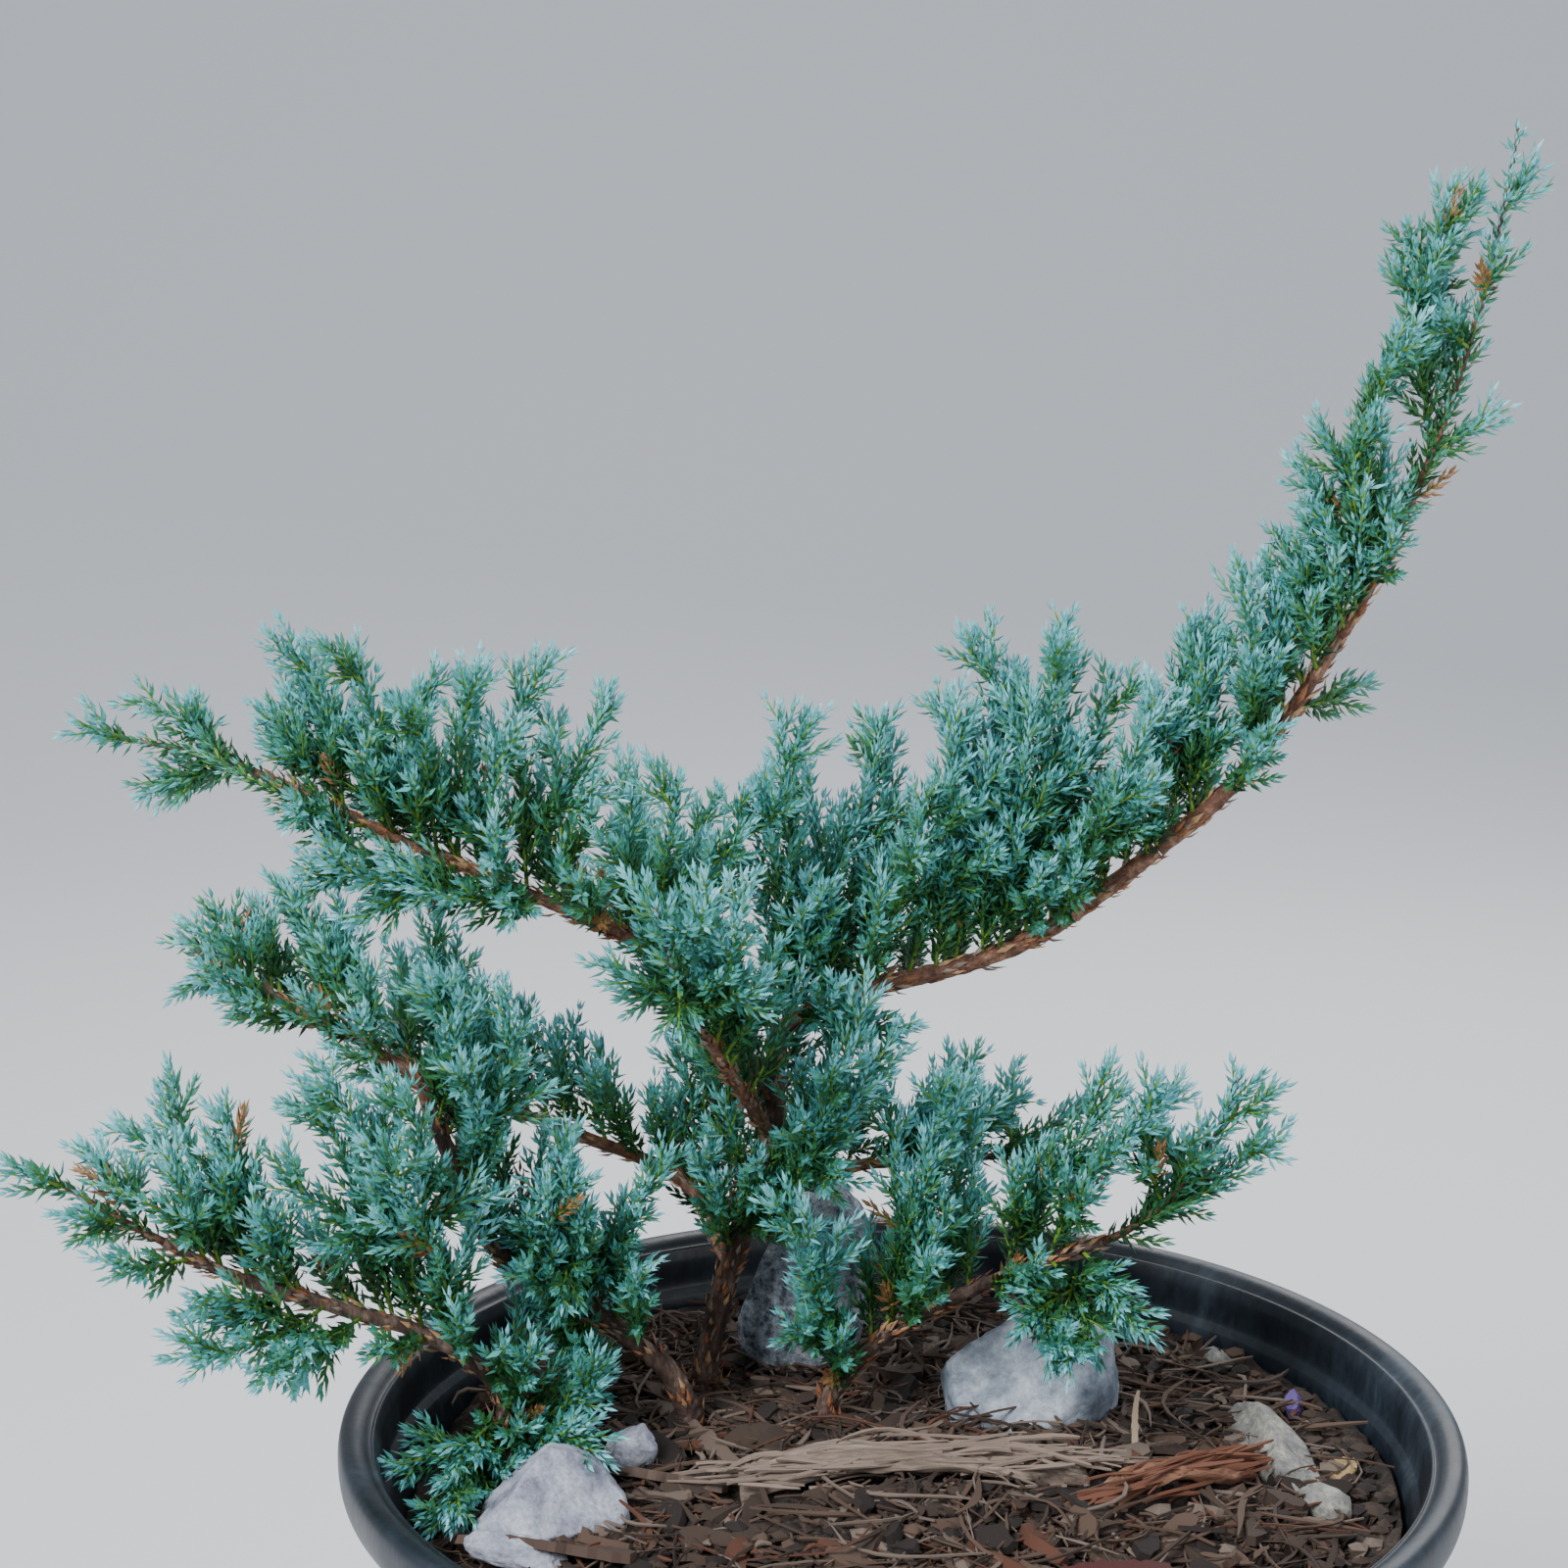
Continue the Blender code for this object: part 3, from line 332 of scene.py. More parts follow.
def scattered(count, dice, reach=0.97):
    """Places spread evenly over the mix: the radius is the root of an even number.

    Twice as many are drawn, and the first ones that lie clear of the torn bark are used.
    """
    radius = soil_edge * reach * np.sqrt(dice.uniform(0.0, 1.0, 2 * count))
    turn = dice.uniform(0, 2 * math.pi, 2 * count)
    spot = np.stack([radius * np.cos(turn), radius * np.sin(turn)], -1)
    free = np.ones(2 * count, bool)
    for start, end, margin in KEPT_CLEAR:
        start, run = np.array(start), np.array(end) - np.array(start)
        share = np.clip((spot - start) @ run / (run @ run), 0, 1)
        free &= np.linalg.norm(spot - start - share[:, None] * run, axis=1) > margin
    spot = spot[free][:count]
    return spot[:, 0], spot[:, 1]


# A lump's two rings stand this far below and above its middle, as shares of its size. Its corners'
# distances and its flatness are drawn between the other shares.
CRUMB_ROWS = (-0.45, 0.45)
CRUMB_REACHES = (0.6, 1.05)
CRUMB_FLATNESSES = (0.55, 1.0)
CRUMB_SIDES = 5


def crumbs(count, sizes, dice):
    """Lumps of 20 faces that rest on the mix: two rings of five points between two poles.

    The cube of an even number gives each lump's size, so that most are small.
    """
    x, y = scattered(count, dice)
    size = sizes[0] + (sizes[1] - sizes[0]) * dice.uniform(0, 1, count) ** 3
    rows = np.array(CRUMB_ROWS)[None, :, None]
    column = (np.arange(CRUMB_SIDES)[None, None] * 2 * math.pi / CRUMB_SIDES
              + np.array([0, math.pi / CRUMB_SIDES])[None, :, None])
    column = column + dice.uniform(0, FULL_TURN, (count, 1, 1))
    reach = size[:, None, None] * dice.uniform(*CRUMB_REACHES, (count, 2, CRUMB_SIDES))
    flatness = dice.uniform(*CRUMB_FLATNESSES, (count, 1, 1))
    rings = np.stack([
        x[:, None, None] + reach * np.cos(column), y[:, None, None] + reach * np.sin(column),
        ground(x, y)[:, None, None] + 0 * column
        + size[:, None, None] * (0.35 + rows * 1.3) * flatness], -1)
    points, triangles = skin(rings)
    points = points.reshape(count, -1, 3)
    points[:, -2, 2] -= 0.3 * size
    points[:, -1, 2] += 0.35 * size
    return points.reshape(-1, 3), triangles


def strips(x, y, z, yaw, pitch, length, width, thickness, bend, dice, rows=7):
    """Flat strips with four-sided sections, widest in the middle, bent sideways by a sine.

    A strip's middle is at (x, y, z). It runs along yaw, tilted up by pitch, and bend is how far
    its ends stand off the straight line, as a share of its length.
    """
    share = np.linspace(-0.5, 0.5, rows)[None]
    ahead = np.stack([np.cos(yaw) * np.cos(pitch), np.sin(yaw) * np.cos(pitch), np.sin(pitch)], -1)
    side = np.stack([-np.sin(yaw), np.cos(yaw), 0 * yaw], -1)
    up = np.cross(ahead, side)
    centre = np.stack([x, y, z], -1)[:, None]
    sway = bend[:, None] * length[:, None] * (np.sin(3.2 * share + 6.0 * bend[:, None]))
    lift = 0.5 * np.abs(bend)[:, None] * length[:, None] * (0.25 - share**2)
    line = (centre + ahead[:, None] * (length[:, None] * share)[..., None]
            + side[:, None] * sway[..., None] + up[:, None] * lift[..., None])
    taper = (0.35 + 0.65 * np.cos(math.pi * share) ** 0.7) * dice.uniform(0.75, 1.2, (len(x), rows))
    roll = dice.uniform(-0.6, 0.6, (len(x), 1)) + dice.uniform(-0.8, 0.8, (len(x), 1)) * share
    across = side[:, None] * np.cos(roll)[..., None] + up[:, None] * np.sin(roll)[..., None]
    over = np.cross(ahead[:, None], across)
    half = (0.5 * width[:, None] * taper)[..., None]
    thick = (0.5 * thickness[:, None] * np.ones_like(share))[..., None]
    signs = ((-1, -1), (1, -1), (1, 1), (-1, 1))
    corners = [line + a * across * half + b * over * thick for a, b in signs]
    return skin(np.stack(corners, axis=2))


MIX_COLOURS = {
    "black_brown": (0.018, 0.012, 0.010), "dark_brown": (0.045, 0.028, 0.020),
    "mid_brown": (0.085, 0.052, 0.036), "grey_brown": (0.150, 0.112, 0.090),
    "red_brown": (0.095, 0.036, 0.020)}
MIX_ROUGHNESS = 0.9
mix_materials = {
    name: plain("mix_" + name, colour, MIX_ROUGHNESS) for name, colour in MIX_COLOURS.items()}

CRUMB_SIZES = (0.0007, 0.0042)
CRUMB_SEED = 40
CRUMB_COUNTS = {"black_brown": 2600, "dark_brown": 2200, "mid_brown": 900, "grey_brown": 420}
for number, (shade, count) in enumerate(CRUMB_COUNTS.items()):
    dice = np.random.default_rng(CRUMB_SEED + number)
    add_piece("crumbs_" + shade, *crumbs(count, CRUMB_SIZES, dice), mix_materials[shade],
              "potting_mix", smooth=False)

# Shreds are thin fibres, mostly short: the least and most of each size, their spread and seed
SHRED_LENGTHS = (0.004, 0.036)
SHRED_WIDTHS = (0.0004, 0.0020)
SHRED_THICKNESSES = (0.0003, 0.0007)
SHRED_LIFTS = (0.0008, 0.0048)
SHRED_TILT = 0.12
SHRED_BEND = 0.22
SHRED_REACH = 0.90
SHRED_SEED = 60
SHRED_COUNTS = {"dark_brown": 900, "mid_brown": 900, "grey_brown": 620, "red_brown": 200}
for number, (shade, count) in enumerate(SHRED_COUNTS.items()):
    dice = np.random.default_rng(SHRED_SEED + number)
    x, y = scattered(count, dice, SHRED_REACH)
    length = SHRED_LENGTHS[0] + (SHRED_LENGTHS[1] - SHRED_LENGTHS[0]) * dice.uniform(0, 1, count) ** 2.5
    width = SHRED_WIDTHS[0] + (SHRED_WIDTHS[1] - SHRED_WIDTHS[0]) * dice.uniform(0, 1, count) ** 2
    height = ground(x, y) + dice.uniform(*SHRED_LIFTS, count)
    yaw, tilt = dice.uniform(0, FULL_TURN, count), dice.normal(0, SHRED_TILT, count)
    thickness, bend = dice.uniform(*SHRED_THICKNESSES, count), dice.normal(0, SHRED_BEND, count)
    shred = strips(x, y, height, yaw, tilt, length, width, thickness, bend, dice)
    add_piece("shreds_" + shade, *shred, mix_materials[shade], "mulch", smooth=False)

# Chips are broader flakes of bark, their width a share of their length
CHIP_LENGTHS = (0.005, 0.017)
CHIP_WIDTH_SHARES = (0.30, 0.60)
CHIP_THICKNESSES = (0.0012, 0.0030)
CHIP_LIFTS = (0.001, 0.004)
CHIP_TILT = 0.16
CHIP_BEND = 0.06
CHIP_REACH = 0.88
CHIP_SEED = 80
CHIP_COUNTS = {"black_brown": 90, "dark_brown": 110, "mid_brown": 60, "grey_brown": 26, "red_brown": 16}
for number, (shade, count) in enumerate(CHIP_COUNTS.items()):
    dice = np.random.default_rng(CHIP_SEED + number)
    x, y = scattered(count, dice, CHIP_REACH)
    length = dice.uniform(*CHIP_LENGTHS, count)
    height = ground(x, y) + dice.uniform(*CHIP_LIFTS, count)
    yaw, tilt = dice.uniform(0, FULL_TURN, count), dice.normal(0, CHIP_TILT, count)
    width = length * dice.uniform(*CHIP_WIDTH_SHARES, count)
    thickness, bend = dice.uniform(*CHIP_THICKNESSES, count), dice.normal(0, CHIP_BEND, count)
    chip = strips(x, y, height, yaw, tilt, length, width, thickness, bend, dice)
    add_piece("chips_" + shade, *chip, mix_materials[shade], "mulch", smooth=False)


# The long mulch strip and the splinter are torn bark: grey and red-brown fibre that splits along its
# grain. Each is one loft whose surface is ridged lengthwise, lying in an arch on the mix.
Chip = namedtuple("Chip", "name start end width thickness arch")
CHIPS = (
    Chip("mulch_strip", (-0.040, -0.022, 0.2262), (0.046, -0.014, 0.2272), 0.017, 0.004, 0.005),
    Chip("mulch_splinter", (0.050, -0.030, 0.2276), (0.088, -0.006, 0.2236), 0.010, 0.003, 0.003),
)
BARK_LIFT = 0.0022
# The grain's ridges as (height, length of wave), and how far a whole strip runs through the waves
BARK_RIDGES = ((0.00055, 0.0032), (0.0003, 0.0012))
GRAIN_LENGTH = 0.010
TORN_SEEDS = (11, 17)
TORN_ROWS = 90
TORN_COLUMNS = 64


def torn_bark(chip, seed):
    """A flat oval section carried along an arch, with ridges that run with the grain.

    The half width grows from its ends by a sine. Each section point is pushed up by waves that are
    four to nine times longer along the strip than across it.
    """
    share = np.linspace(0, 1, TORN_ROWS)[:, None]
    start, end = np.array(chip.start), np.array(chip.end)
    ahead = (end - start) / np.linalg.norm(end - start)
    across = np.array((-ahead[1], ahead[0], 0.0))
    across /= np.linalg.norm(across)
    middle = start + (end - start) * share
    middle[:, 2] += (chip.arch * np.sin(math.pi * share))[:, 0] + BARK_LIFT
    sway = 0.14 * chip.width * np.sin(7.0 * share)
    half = 0.5 * chip.width * (0.55 + 0.45 * np.sin(math.pi * (0.15 + 0.7 * share)))
    angle = np.linspace(0, 2 * math.pi, TORN_COLUMNS, endpoint=False)[None]
    flat_x = half * np.cos(angle)
    flat_z = 0.5 * chip.thickness * np.sin(angle)
    field = np.stack([share * GRAIN_LENGTH + 0 * angle, flat_x + 0 * share, flat_z + 0 * share], -1)
    ridge = sum(height * waves(field, across_grain, seed + number)
                for number, (height, across_grain) in enumerate(BARK_RIDGES))
    curl = 0.10 * chip.width * np.sin(5.0 * share + 2.0 * flat_x / chip.width)
    side = flat_x + sway
    rise = flat_z * (1 + 0 * share) + ridge + curl
    rings = middle[:, None] + side[..., None] * across + rise[..., None] * np.array((0.0, 0.0, 1.0))
    return skin(rings[None])


grey_mulch = weathered(
    "grey_mulch", ((0.32, (0.060, 0.040, 0.030)), (0.50, (0.190, 0.140, 0.110)),
                   (0.68, (0.340, 0.265, 0.215))),
    coarse=120.0, fine=700.0, roughness=(0.75, 0.95), relief=0.0005, stretch=(0.10, 1.3, 1.3), grain=0.6)
red_mulch = weathered(
    "red_mulch", ((0.32, (0.075, 0.030, 0.018)), (0.50, (0.210, 0.095, 0.055)),
                  (0.68, (0.330, 0.180, 0.110))),
    coarse=120.0, fine=700.0, roughness=(0.75, 0.95), relief=0.0005, stretch=(0.2, 0.6, 1.3), grain=0.6)
for chip, material, seed in zip(CHIPS, (grey_mulch, red_mulch), TORN_SEEDS):
    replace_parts(add_piece("torn_" + chip.name, *torn_bark(chip, seed), material, "mulch"), chip.name)

# Loose fibres along each torn piece: number, colour and seed, then the spread of their sizes. A fibre
# that lies beside the bark and not on it drops by FIBRE_DROP.
FIBRES = ((130, "grey_brown", 95), (60, "red_brown", 96))
FIBRE_PLACES = (-0.05, 1.05)
FIBRE_LENGTHS = (0.010, 0.034)
FIBRE_WIDTHS = (0.0005, 0.0018)
FIBRE_THICKNESSES = (0.0003, 0.0008)
FIBRE_LIFTS = (0.0008, 0.0030)
FIBRE_DROP = 0.004
FIBRE_SIDE_SPREAD = 0.30
FIBRE_TURN = 0.10
FIBRE_TILT = 0.05
FIBRE_BEND = 0.10
FIBRE_PALER = 1.5
for chip, (count, shade, seed) in zip(CHIPS, FIBRES):
    dice = np.random.default_rng(seed)
    run = np.array(chip.end) - np.array(chip.start)
    place = dice.uniform(*FIBRE_PLACES, count)
    spot = np.array(chip.start) + place[:, None] * run
    aside = dice.normal(0, FIBRE_SIDE_SPREAD, count) * chip.width
    lift = chip.arch * np.sin(math.pi * np.clip(place, 0, 1)) + BARK_LIFT
    lift += dice.uniform(*FIBRE_LIFTS, count)
    lift -= FIBRE_DROP * (np.abs(aside) > 0.5 * chip.width)
    yaw = math.atan2(run[1], run[0]) + dice.normal(0, FIBRE_TURN, count)
    tilt, length = dice.normal(0, FIBRE_TILT, count), dice.uniform(*FIBRE_LENGTHS, count)
    width, thickness = dice.uniform(*FIBRE_WIDTHS, count), dice.uniform(*FIBRE_THICKNESSES, count)
    bend = dice.normal(0, FIBRE_BEND, count)
    fibre = strips(spot[:, 0], spot[:, 1] + aside, spot[:, 2] + lift, yaw, tilt, length, width,
                   thickness, bend, dice, rows=9)
    paler = tuple(FIBRE_PALER * level for level in MIX_COLOURS[shade])
    add_piece("fibres_" + chip.name, *fibre, plain("fibre_" + shade, paler, MIX_ROUGHNESS), "mulch",
              smooth=False)

# Single pieces that the photo shows on the mix: colour, x, y, lift, yaw, pitch, length, width, thickness
SINGLES = (
    ("grey_plank", (0.110, 0.075, 0.058), -0.060, -0.014, 0.004, -0.50, 0.05, 0.036, 0.012, 0.0024),
    ("left_plank", (0.075, 0.046, 0.034), -0.085, -0.053, 0.006, -0.35, 0.05, 0.043, 0.012, 0.0024),
    ("long_shred", (0.120, 0.085, 0.066), -0.051, 0.011, 0.004, -1.25, 0.06, 0.057, 0.005, 0.0016),
    ("red_plank", (0.070, 0.014, 0.014), 0.045, -0.071, 0.005, 0.05, 0.04, 0.030, 0.010, 0.0024),
    ("pale_twig", (0.430, 0.330, 0.220), 0.061, 0.010, 0.008, 1.30, 0.45, 0.022, 0.0018, 0.0016),
    ("tan_chip", (0.400, 0.280, 0.130), 0.112, -0.002, 0.003, 0.60, 0.20, 0.008, 0.006, 0.0012),
    ("purple_bud", (0.110, 0.070, 0.240), 0.106, 0.036, 0.004, 1.20, 0.30, 0.008, 0.0042, 0.0034),
)
SINGLE_SEED = 97
SINGLE_BEND = 0.05
SINGLE_ROUGHNESS = 0.85
dice = np.random.default_rng(SINGLE_SEED)
for name, colour, x, y, lift, *shape in SINGLES:
    yaw, pitch, length, width, thickness = (np.array([value]) for value in shape)
    height = np.array([ground(x, y) + lift])
    single = strips(np.array([x]), np.array([y]), height, yaw, pitch, length, width, thickness,
                    np.array([SINGLE_BEND]), dice, rows=24)
    add_piece(name, *single, plain("single_" + name, colour, SINGLE_ROUGHNESS), "mulch", smooth=False)


# Four stones bedded in the mix: a tall grey granite behind the stems, a blue-grey quartz with broken
# faces, a pale rounded one in front and a wedge of slate. Small pebbles lie beside them.
Stone = namedtuple("Stone", "name centre radii turn flats seed")
STONES = (
    Stone("granite_stone", (-0.023, 0.070, 0.243), (0.018, 0.014, 0.034), (0, 8, 0), 3, 3),
    Stone("quartz_stone", (0.036, 0.036, 0.232), (0.024, 0.019, 0.025), (0, 20, 10), 6, 11),
    Stone("front_stone", (-0.086, -0.030, 0.224), (0.019, 0.020, 0.017), (0, 0, 25), 4, 21),
    Stone("wedge_stone", (0.096, 0.004, 0.221), (0.010, 0.030, 0.011), (8, 0, 12), 4, 31),
)
STONE_ROWS = 90
STONE_COLUMNS = 130
# Where a flat cuts a stone, as a share of its half size, and the waves on it: height and length
FLAT_OFFSETS = (0.62, 0.82)
STONE_WAVES = ((0.030, 0.9), (0.012, 0.40), (0.005, 0.20))
STONE_SHRINK = 0.985


def broken_ball(stone):
    """A ball broken flat on some sides, stretched to its half sizes, turned and put in place.

    Along each direction the surface lies at distance 1, or nearer where a flat's offset divided by
    the cosine to its normal is less. Fine waves roughen it.
    """
    draw = random.Random(stone.seed)
    latitude = np.linspace(-0.5 * math.pi, 0.5 * math.pi, STONE_ROWS + 2)[1:-1, None]
    longitude = np.linspace(0, 2 * math.pi, STONE_COLUMNS, endpoint=False)[None]
    ball = np.stack([
        np.cos(latitude) * np.cos(longitude), np.cos(latitude) * np.sin(longitude),
        np.sin(latitude) + 0 * longitude], -1)
    reach = np.ones(ball.shape[:2])
    for _ in range(stone.flats):
        normal = Vector((draw.uniform(-1, 1), draw.uniform(-1, 1), draw.uniform(-0.2, 1))).normalized()
        offset = draw.uniform(*FLAT_OFFSETS)
        reach = np.minimum(reach, offset / np.maximum(ball @ np.array(normal), 1e-6))
    swell = 1
    for number, (height, length) in enumerate(STONE_WAVES):
        swell = swell + height * waves(ball, length, stone.seed + number)
    shape = ball * (reach * swell * STONE_SHRINK)[..., None] * np.array(stone.radii)
    spin = np.array(Euler([math.radians(angle) for angle in stone.turn]).to_matrix())
    return skin((shape @ spin.T + np.array(stone.centre))[None])


granite = weathered(
    "granite", ((0.38, (0.07, 0.09, 0.12)), (0.46, (0.24, 0.28, 0.34)), (0.58, (0.40, 0.45, 0.52)),
                (0.70, (0.64, 0.67, 0.71))),
    coarse=330.0, fine=1300.0, roughness=(0.55, 0.85), relief=0.0004, grain=0.55)
quartz = weathered(
    "quartz", ((0.34, (0.10, 0.13, 0.18)), (0.50, (0.25, 0.30, 0.37)), (0.66, (0.50, 0.55, 0.62))),
    coarse=70.0, fine=600.0, roughness=(0.25, 0.60), relief=0.0003, grain=0.35)
pale_stone = weathered(
    "pale_stone", ((0.34, (0.22, 0.23, 0.31)), (0.52, (0.42, 0.44, 0.53)), (0.70, (0.64, 0.66, 0.72))),
    coarse=90.0, fine=900.0, roughness=(0.60, 0.90), relief=0.0004, grain=0.35)
slate_stone = weathered(
    "slate_stone", ((0.34, (0.10, 0.10, 0.10)), (0.52, (0.24, 0.24, 0.22)), (0.68, (0.46, 0.44, 0.37))),
    coarse=110.0, fine=800.0, roughness=(0.50, 0.85), relief=0.0004, grain=0.4)
for stone, material in zip(STONES, (granite, quartz, pale_stone, slate_stone)):
    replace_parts(add_piece("bedded_" + stone.name, *broken_ball(stone), material, "stone"), stone.name)

PEBBLES = (
    Stone("pebble_trunk", (-0.068, -0.004, 0.2285), (0.0075, 0.0045, 0.0095), (15, 20, 30), 4, 51),
    Stone("pebble_back", (0.090, 0.069, 0.2240), (0.0050, 0.0045, 0.0038), (0, 0, 20), 2, 52),
    Stone("pebble_right", (0.104, -0.022, 0.2245), (0.0060, 0.0080, 0.0050), (0, 0, 40), 3, 53),
    Stone("pebble_front", (-0.092, -0.054, 0.2270), (0.0130, 0.0060, 0.0040), (0, 6, -10), 3, 54),
)
for stone, material in zip(PEBBLES, (pale_stone, slate_stone, slate_stone, pale_stone)):
    add_piece(stone.name, *broken_ball(stone), material, "stone")


# Stems and boughs: young juniper wood, grey-brown at the foot and rust-brown further out, with bark
# that peels in long thin flakes. Each limb is a tube with a ridged skin that tapers to its end.
CLEARANCE = 0.0003
STEM_SUNK = 0.0020
ROOT_FLARE = 0.65
ROOT_FLARE_HEIGHT = 0.006
BARK_COLUMNS = 26
BARK_STEP = 0.0007
BARK_SEED = 100
# The bark's relief as shares of the radius: long ridges, and finer bumps squeezed together lengthwise
RIDGE_LENGTH = 0.020
RIDGE_SWELL, RIDGE_WAVE = 0.075, 1.4
BUMP_SWELL, BUMP_WAVE = 0.060, 0.6
BUMP_SQUEEZE = (3, 1, 1)
Limb = namedtuple("Limb", "name foot_radius end_radius parent points")
LIMBS = (
    Limb("trunk", 0.0034, 0.0026, None, (
        (-0.0500, 0.0500, 0.2200), (-0.0500, 0.0500, 0.2300), (-0.0460, 0.0485, 0.2500),
        (-0.0390, 0.0465, 0.2740), (-0.0330, 0.0455, 0.2960), (-0.0315, 0.0450, 0.3180))),
    Limb("long_bough_inner", 0.0024, 0.0022, "trunk_end", (
        (-0.0310, 0.0450, 0.3190), (-0.0230, 0.0455, 0.3300), (-0.0080, 0.0470, 0.3360),
        (0.0210, 0.0490, 0.3430), (0.0440, 0.0500, 0.3545), (0.0670, 0.0510, 0.3725))),
    Limb("long_bough_outer", 0.0022, 0.0012, "long_bough_inner_end", (
        (0.0680, 0.0511, 0.3735), (0.0900, 0.0520, 0.3940), (0.1060, 0.0535, 0.4170),
        (0.1180, 0.0550, 0.4370), (0.1270, 0.0560, 0.4560))),
    Limb("upper_left_bough", 0.0022, 0.0011, "trunk", (
        (-0.0320, 0.0450, 0.3060), (-0.0420, 0.0430, 0.3230), (-0.0540, 0.0410, 0.3420),
        (-0.0860, 0.0380, 0.3590), (-0.1200, 0.0350, 0.3745), (-0.1600, 0.0330, 0.3940))),
    Limb("front_bough", 0.0018, 0.0012, "trunk", (
        (-0.0330, 0.0455, 0.2960), (-0.0370, 0.0360, 0.3060), (-0.0430, 0.0220, 0.3200),
        (-0.0490, 0.0080, 0.3340))),
    Limb("mid_left_stem", 0.0030, 0.0019, None, (
        (-0.0540, 0.0220, 0.2210), (-0.0540, 0.0220, 0.2300), (-0.0620, 0.0225, 0.2430),
        (-0.0800, 0.0220, 0.2570), (-0.1010, 0.0190, 0.2720), (-0.1100, 0.0165, 0.2900),
        (-0.1190, 0.0150, 0.3140))),
    Limb("mid_left_bough", 0.0018, 0.0011, "mid_left_stem_end", (
        (-0.1198, 0.0150, 0.3152), (-0.1330, 0.0150, 0.3290), (-0.1500, 0.0160, 0.3370),
        (-0.1640, 0.0180, 0.3455))),
    Limb("low_left_stem", 0.0027, 0.0012, None, (
        (-0.1010, 0.0040, 0.2160), (-0.1010, 0.0040, 0.2280), (-0.1010, 0.0045, 0.2420),
        (-0.1180, 0.0000, 0.2580), (-0.1380, -0.0050, 0.2670), (-0.1640, -0.0130, 0.2790),
        (-0.1800, -0.0170, 0.2890))),
    Limb("centre_stem", 0.0019, 0.0013, None, (
        (-0.0830, 0.0330, 0.2190), (-0.0830, 0.0330, 0.2280), (-0.0832, 0.0300, 0.2500))),
    Limb("low_right_stem", 0.0027, 0.0013, None, (
        (-0.0170, 0.0260, 0.2210), (-0.0170, 0.0260, 0.2310), (-0.0040, 0.0250, 0.2480),
        (0.0210, 0.0220, 0.2635), (0.0520, 0.0175, 0.2775))),
    Limb("back_bough", 0.0020, 0.0012, "trunk", (
        (-0.0385, 0.0465, 0.2750), (-0.0450, 0.0700, 0.2900), (-0.0570, 0.0960, 0.3080),
        (-0.0680, 0.1160, 0.3240))),
    Limb("back_left_bough", 0.0021, 0.0012, "trunk", (
        (-0.0430, 0.0475, 0.2610), (-0.0560, 0.0580, 0.2790), (-0.0860, 0.0620, 0.2910),
        (-0.1150, 0.0680, 0.3000))),
    Limb("back_right_bough", 0.0020, 0.0012, "trunk", (
        (-0.0430, 0.0475, 0.2590), (-0.0480, 0.0700, 0.2630), (-0.0340, 0.0960, 0.2660),
        (-0.0020, 0.1080, 0.2670), (0.0250, 0.1100, 0.2680))),
)


def unit(vector):
    """The vector over its own length."""
    return vector / max(float(np.linalg.norm(vector)), 1e-12)


def smooth_path(points, count):
    """Evenly numbered points on a Catmull-Rom curve through the given ones."""
    anchors = np.array([points[0], *points, points[-1]], float)
    anchors[0] = 2 * anchors[1] - anchors[2]
    anchors[-1] = 2 * anchors[-2] - anchors[-3]
    places = np.linspace(0, len(points) - 1, count)
    index = np.minimum(places.astype(int), len(points) - 2)
    t = (places - index)[:, None]
    a, b, c, d = (anchors[index + k] for k in range(4))
    return 0.5 * (2 * b + (c - a) * t + (2 * a - 5 * b + 4 * c - d) * t**2 + (3 * b - a - 3 * c + d) * t**3)


def limb_paths():
    """Each limb's centre line and radii: a smooth curve, its radius falling evenly along it, with a
    root flare that dies away exponentially above the mix."""
    paths = {}
    for limb in LIMBS:
        count = 2 * len(limb.points) + 1
        path = smooth_path(limb.points, count)
        share = np.linspace(0, 1, count)
        radii = limb.foot_radius + (limb.end_radius - limb.foot_radius) * share
        if limb.parent is None:
            x, y, _ = limb.points[0]
            path[0, 2] = ground(x, y) - STEM_SUNK
            path[1, :2] = path[0, :2]
            rise = path[:, 2] - path[0, 2]
            radii = radii * (1 + ROOT_FLARE * np.exp(-np.maximum(rise, 0) / ROOT_FLARE_HEIGHT))
        elif limb.parent.endswith("_end"):
            before = paths[limb.parent[:-4]][0]
            ahead = unit(before[-1] - before[-2])
            path[0] = before[-1] + CLEARANCE * ahead
            path[1] = path[0] + 0.5 * float(np.linalg.norm(path[2] - path[0])) * ahead
        paths[limb.name] = (path, radii)
    return paths


def frames_along(path):
    """Unit tangent and two unit normals at each point, carried along without a twist."""
    tangents = np.gradient(path, axis=0)
    tangents /= np.linalg.norm(tangents, axis=1)[:, None]
    side = np.cross(tangents[0], (0.31, 0.12, 0.94))
    sides = []
    for tangent in tangents:
        side = unit(side - tangent * float(side @ tangent))
        sides.append(side)
    sides = np.array(sides)
    return tangents, sides, np.cross(tangents, sides)


def run_of(path):
    """The distance along the path to each of its points: the sum of the steps before it."""
    return np.concatenate([[0], np.cumsum(np.linalg.norm(np.diff(path, axis=0), axis=1))])


def at_distances(values, run, places):
    """Rows of three values read off at these distances, evenly between the path's points."""
    return np.stack([np.interp(places, run, values[:, k]) for k in range(3)], axis=-1)


def refined(values, count):
    """This many values in place of the given ones, read off evenly from the first to the last."""
    return np.interp(np.linspace(0, 1, count), np.linspace(0, 1, len(values)), values)


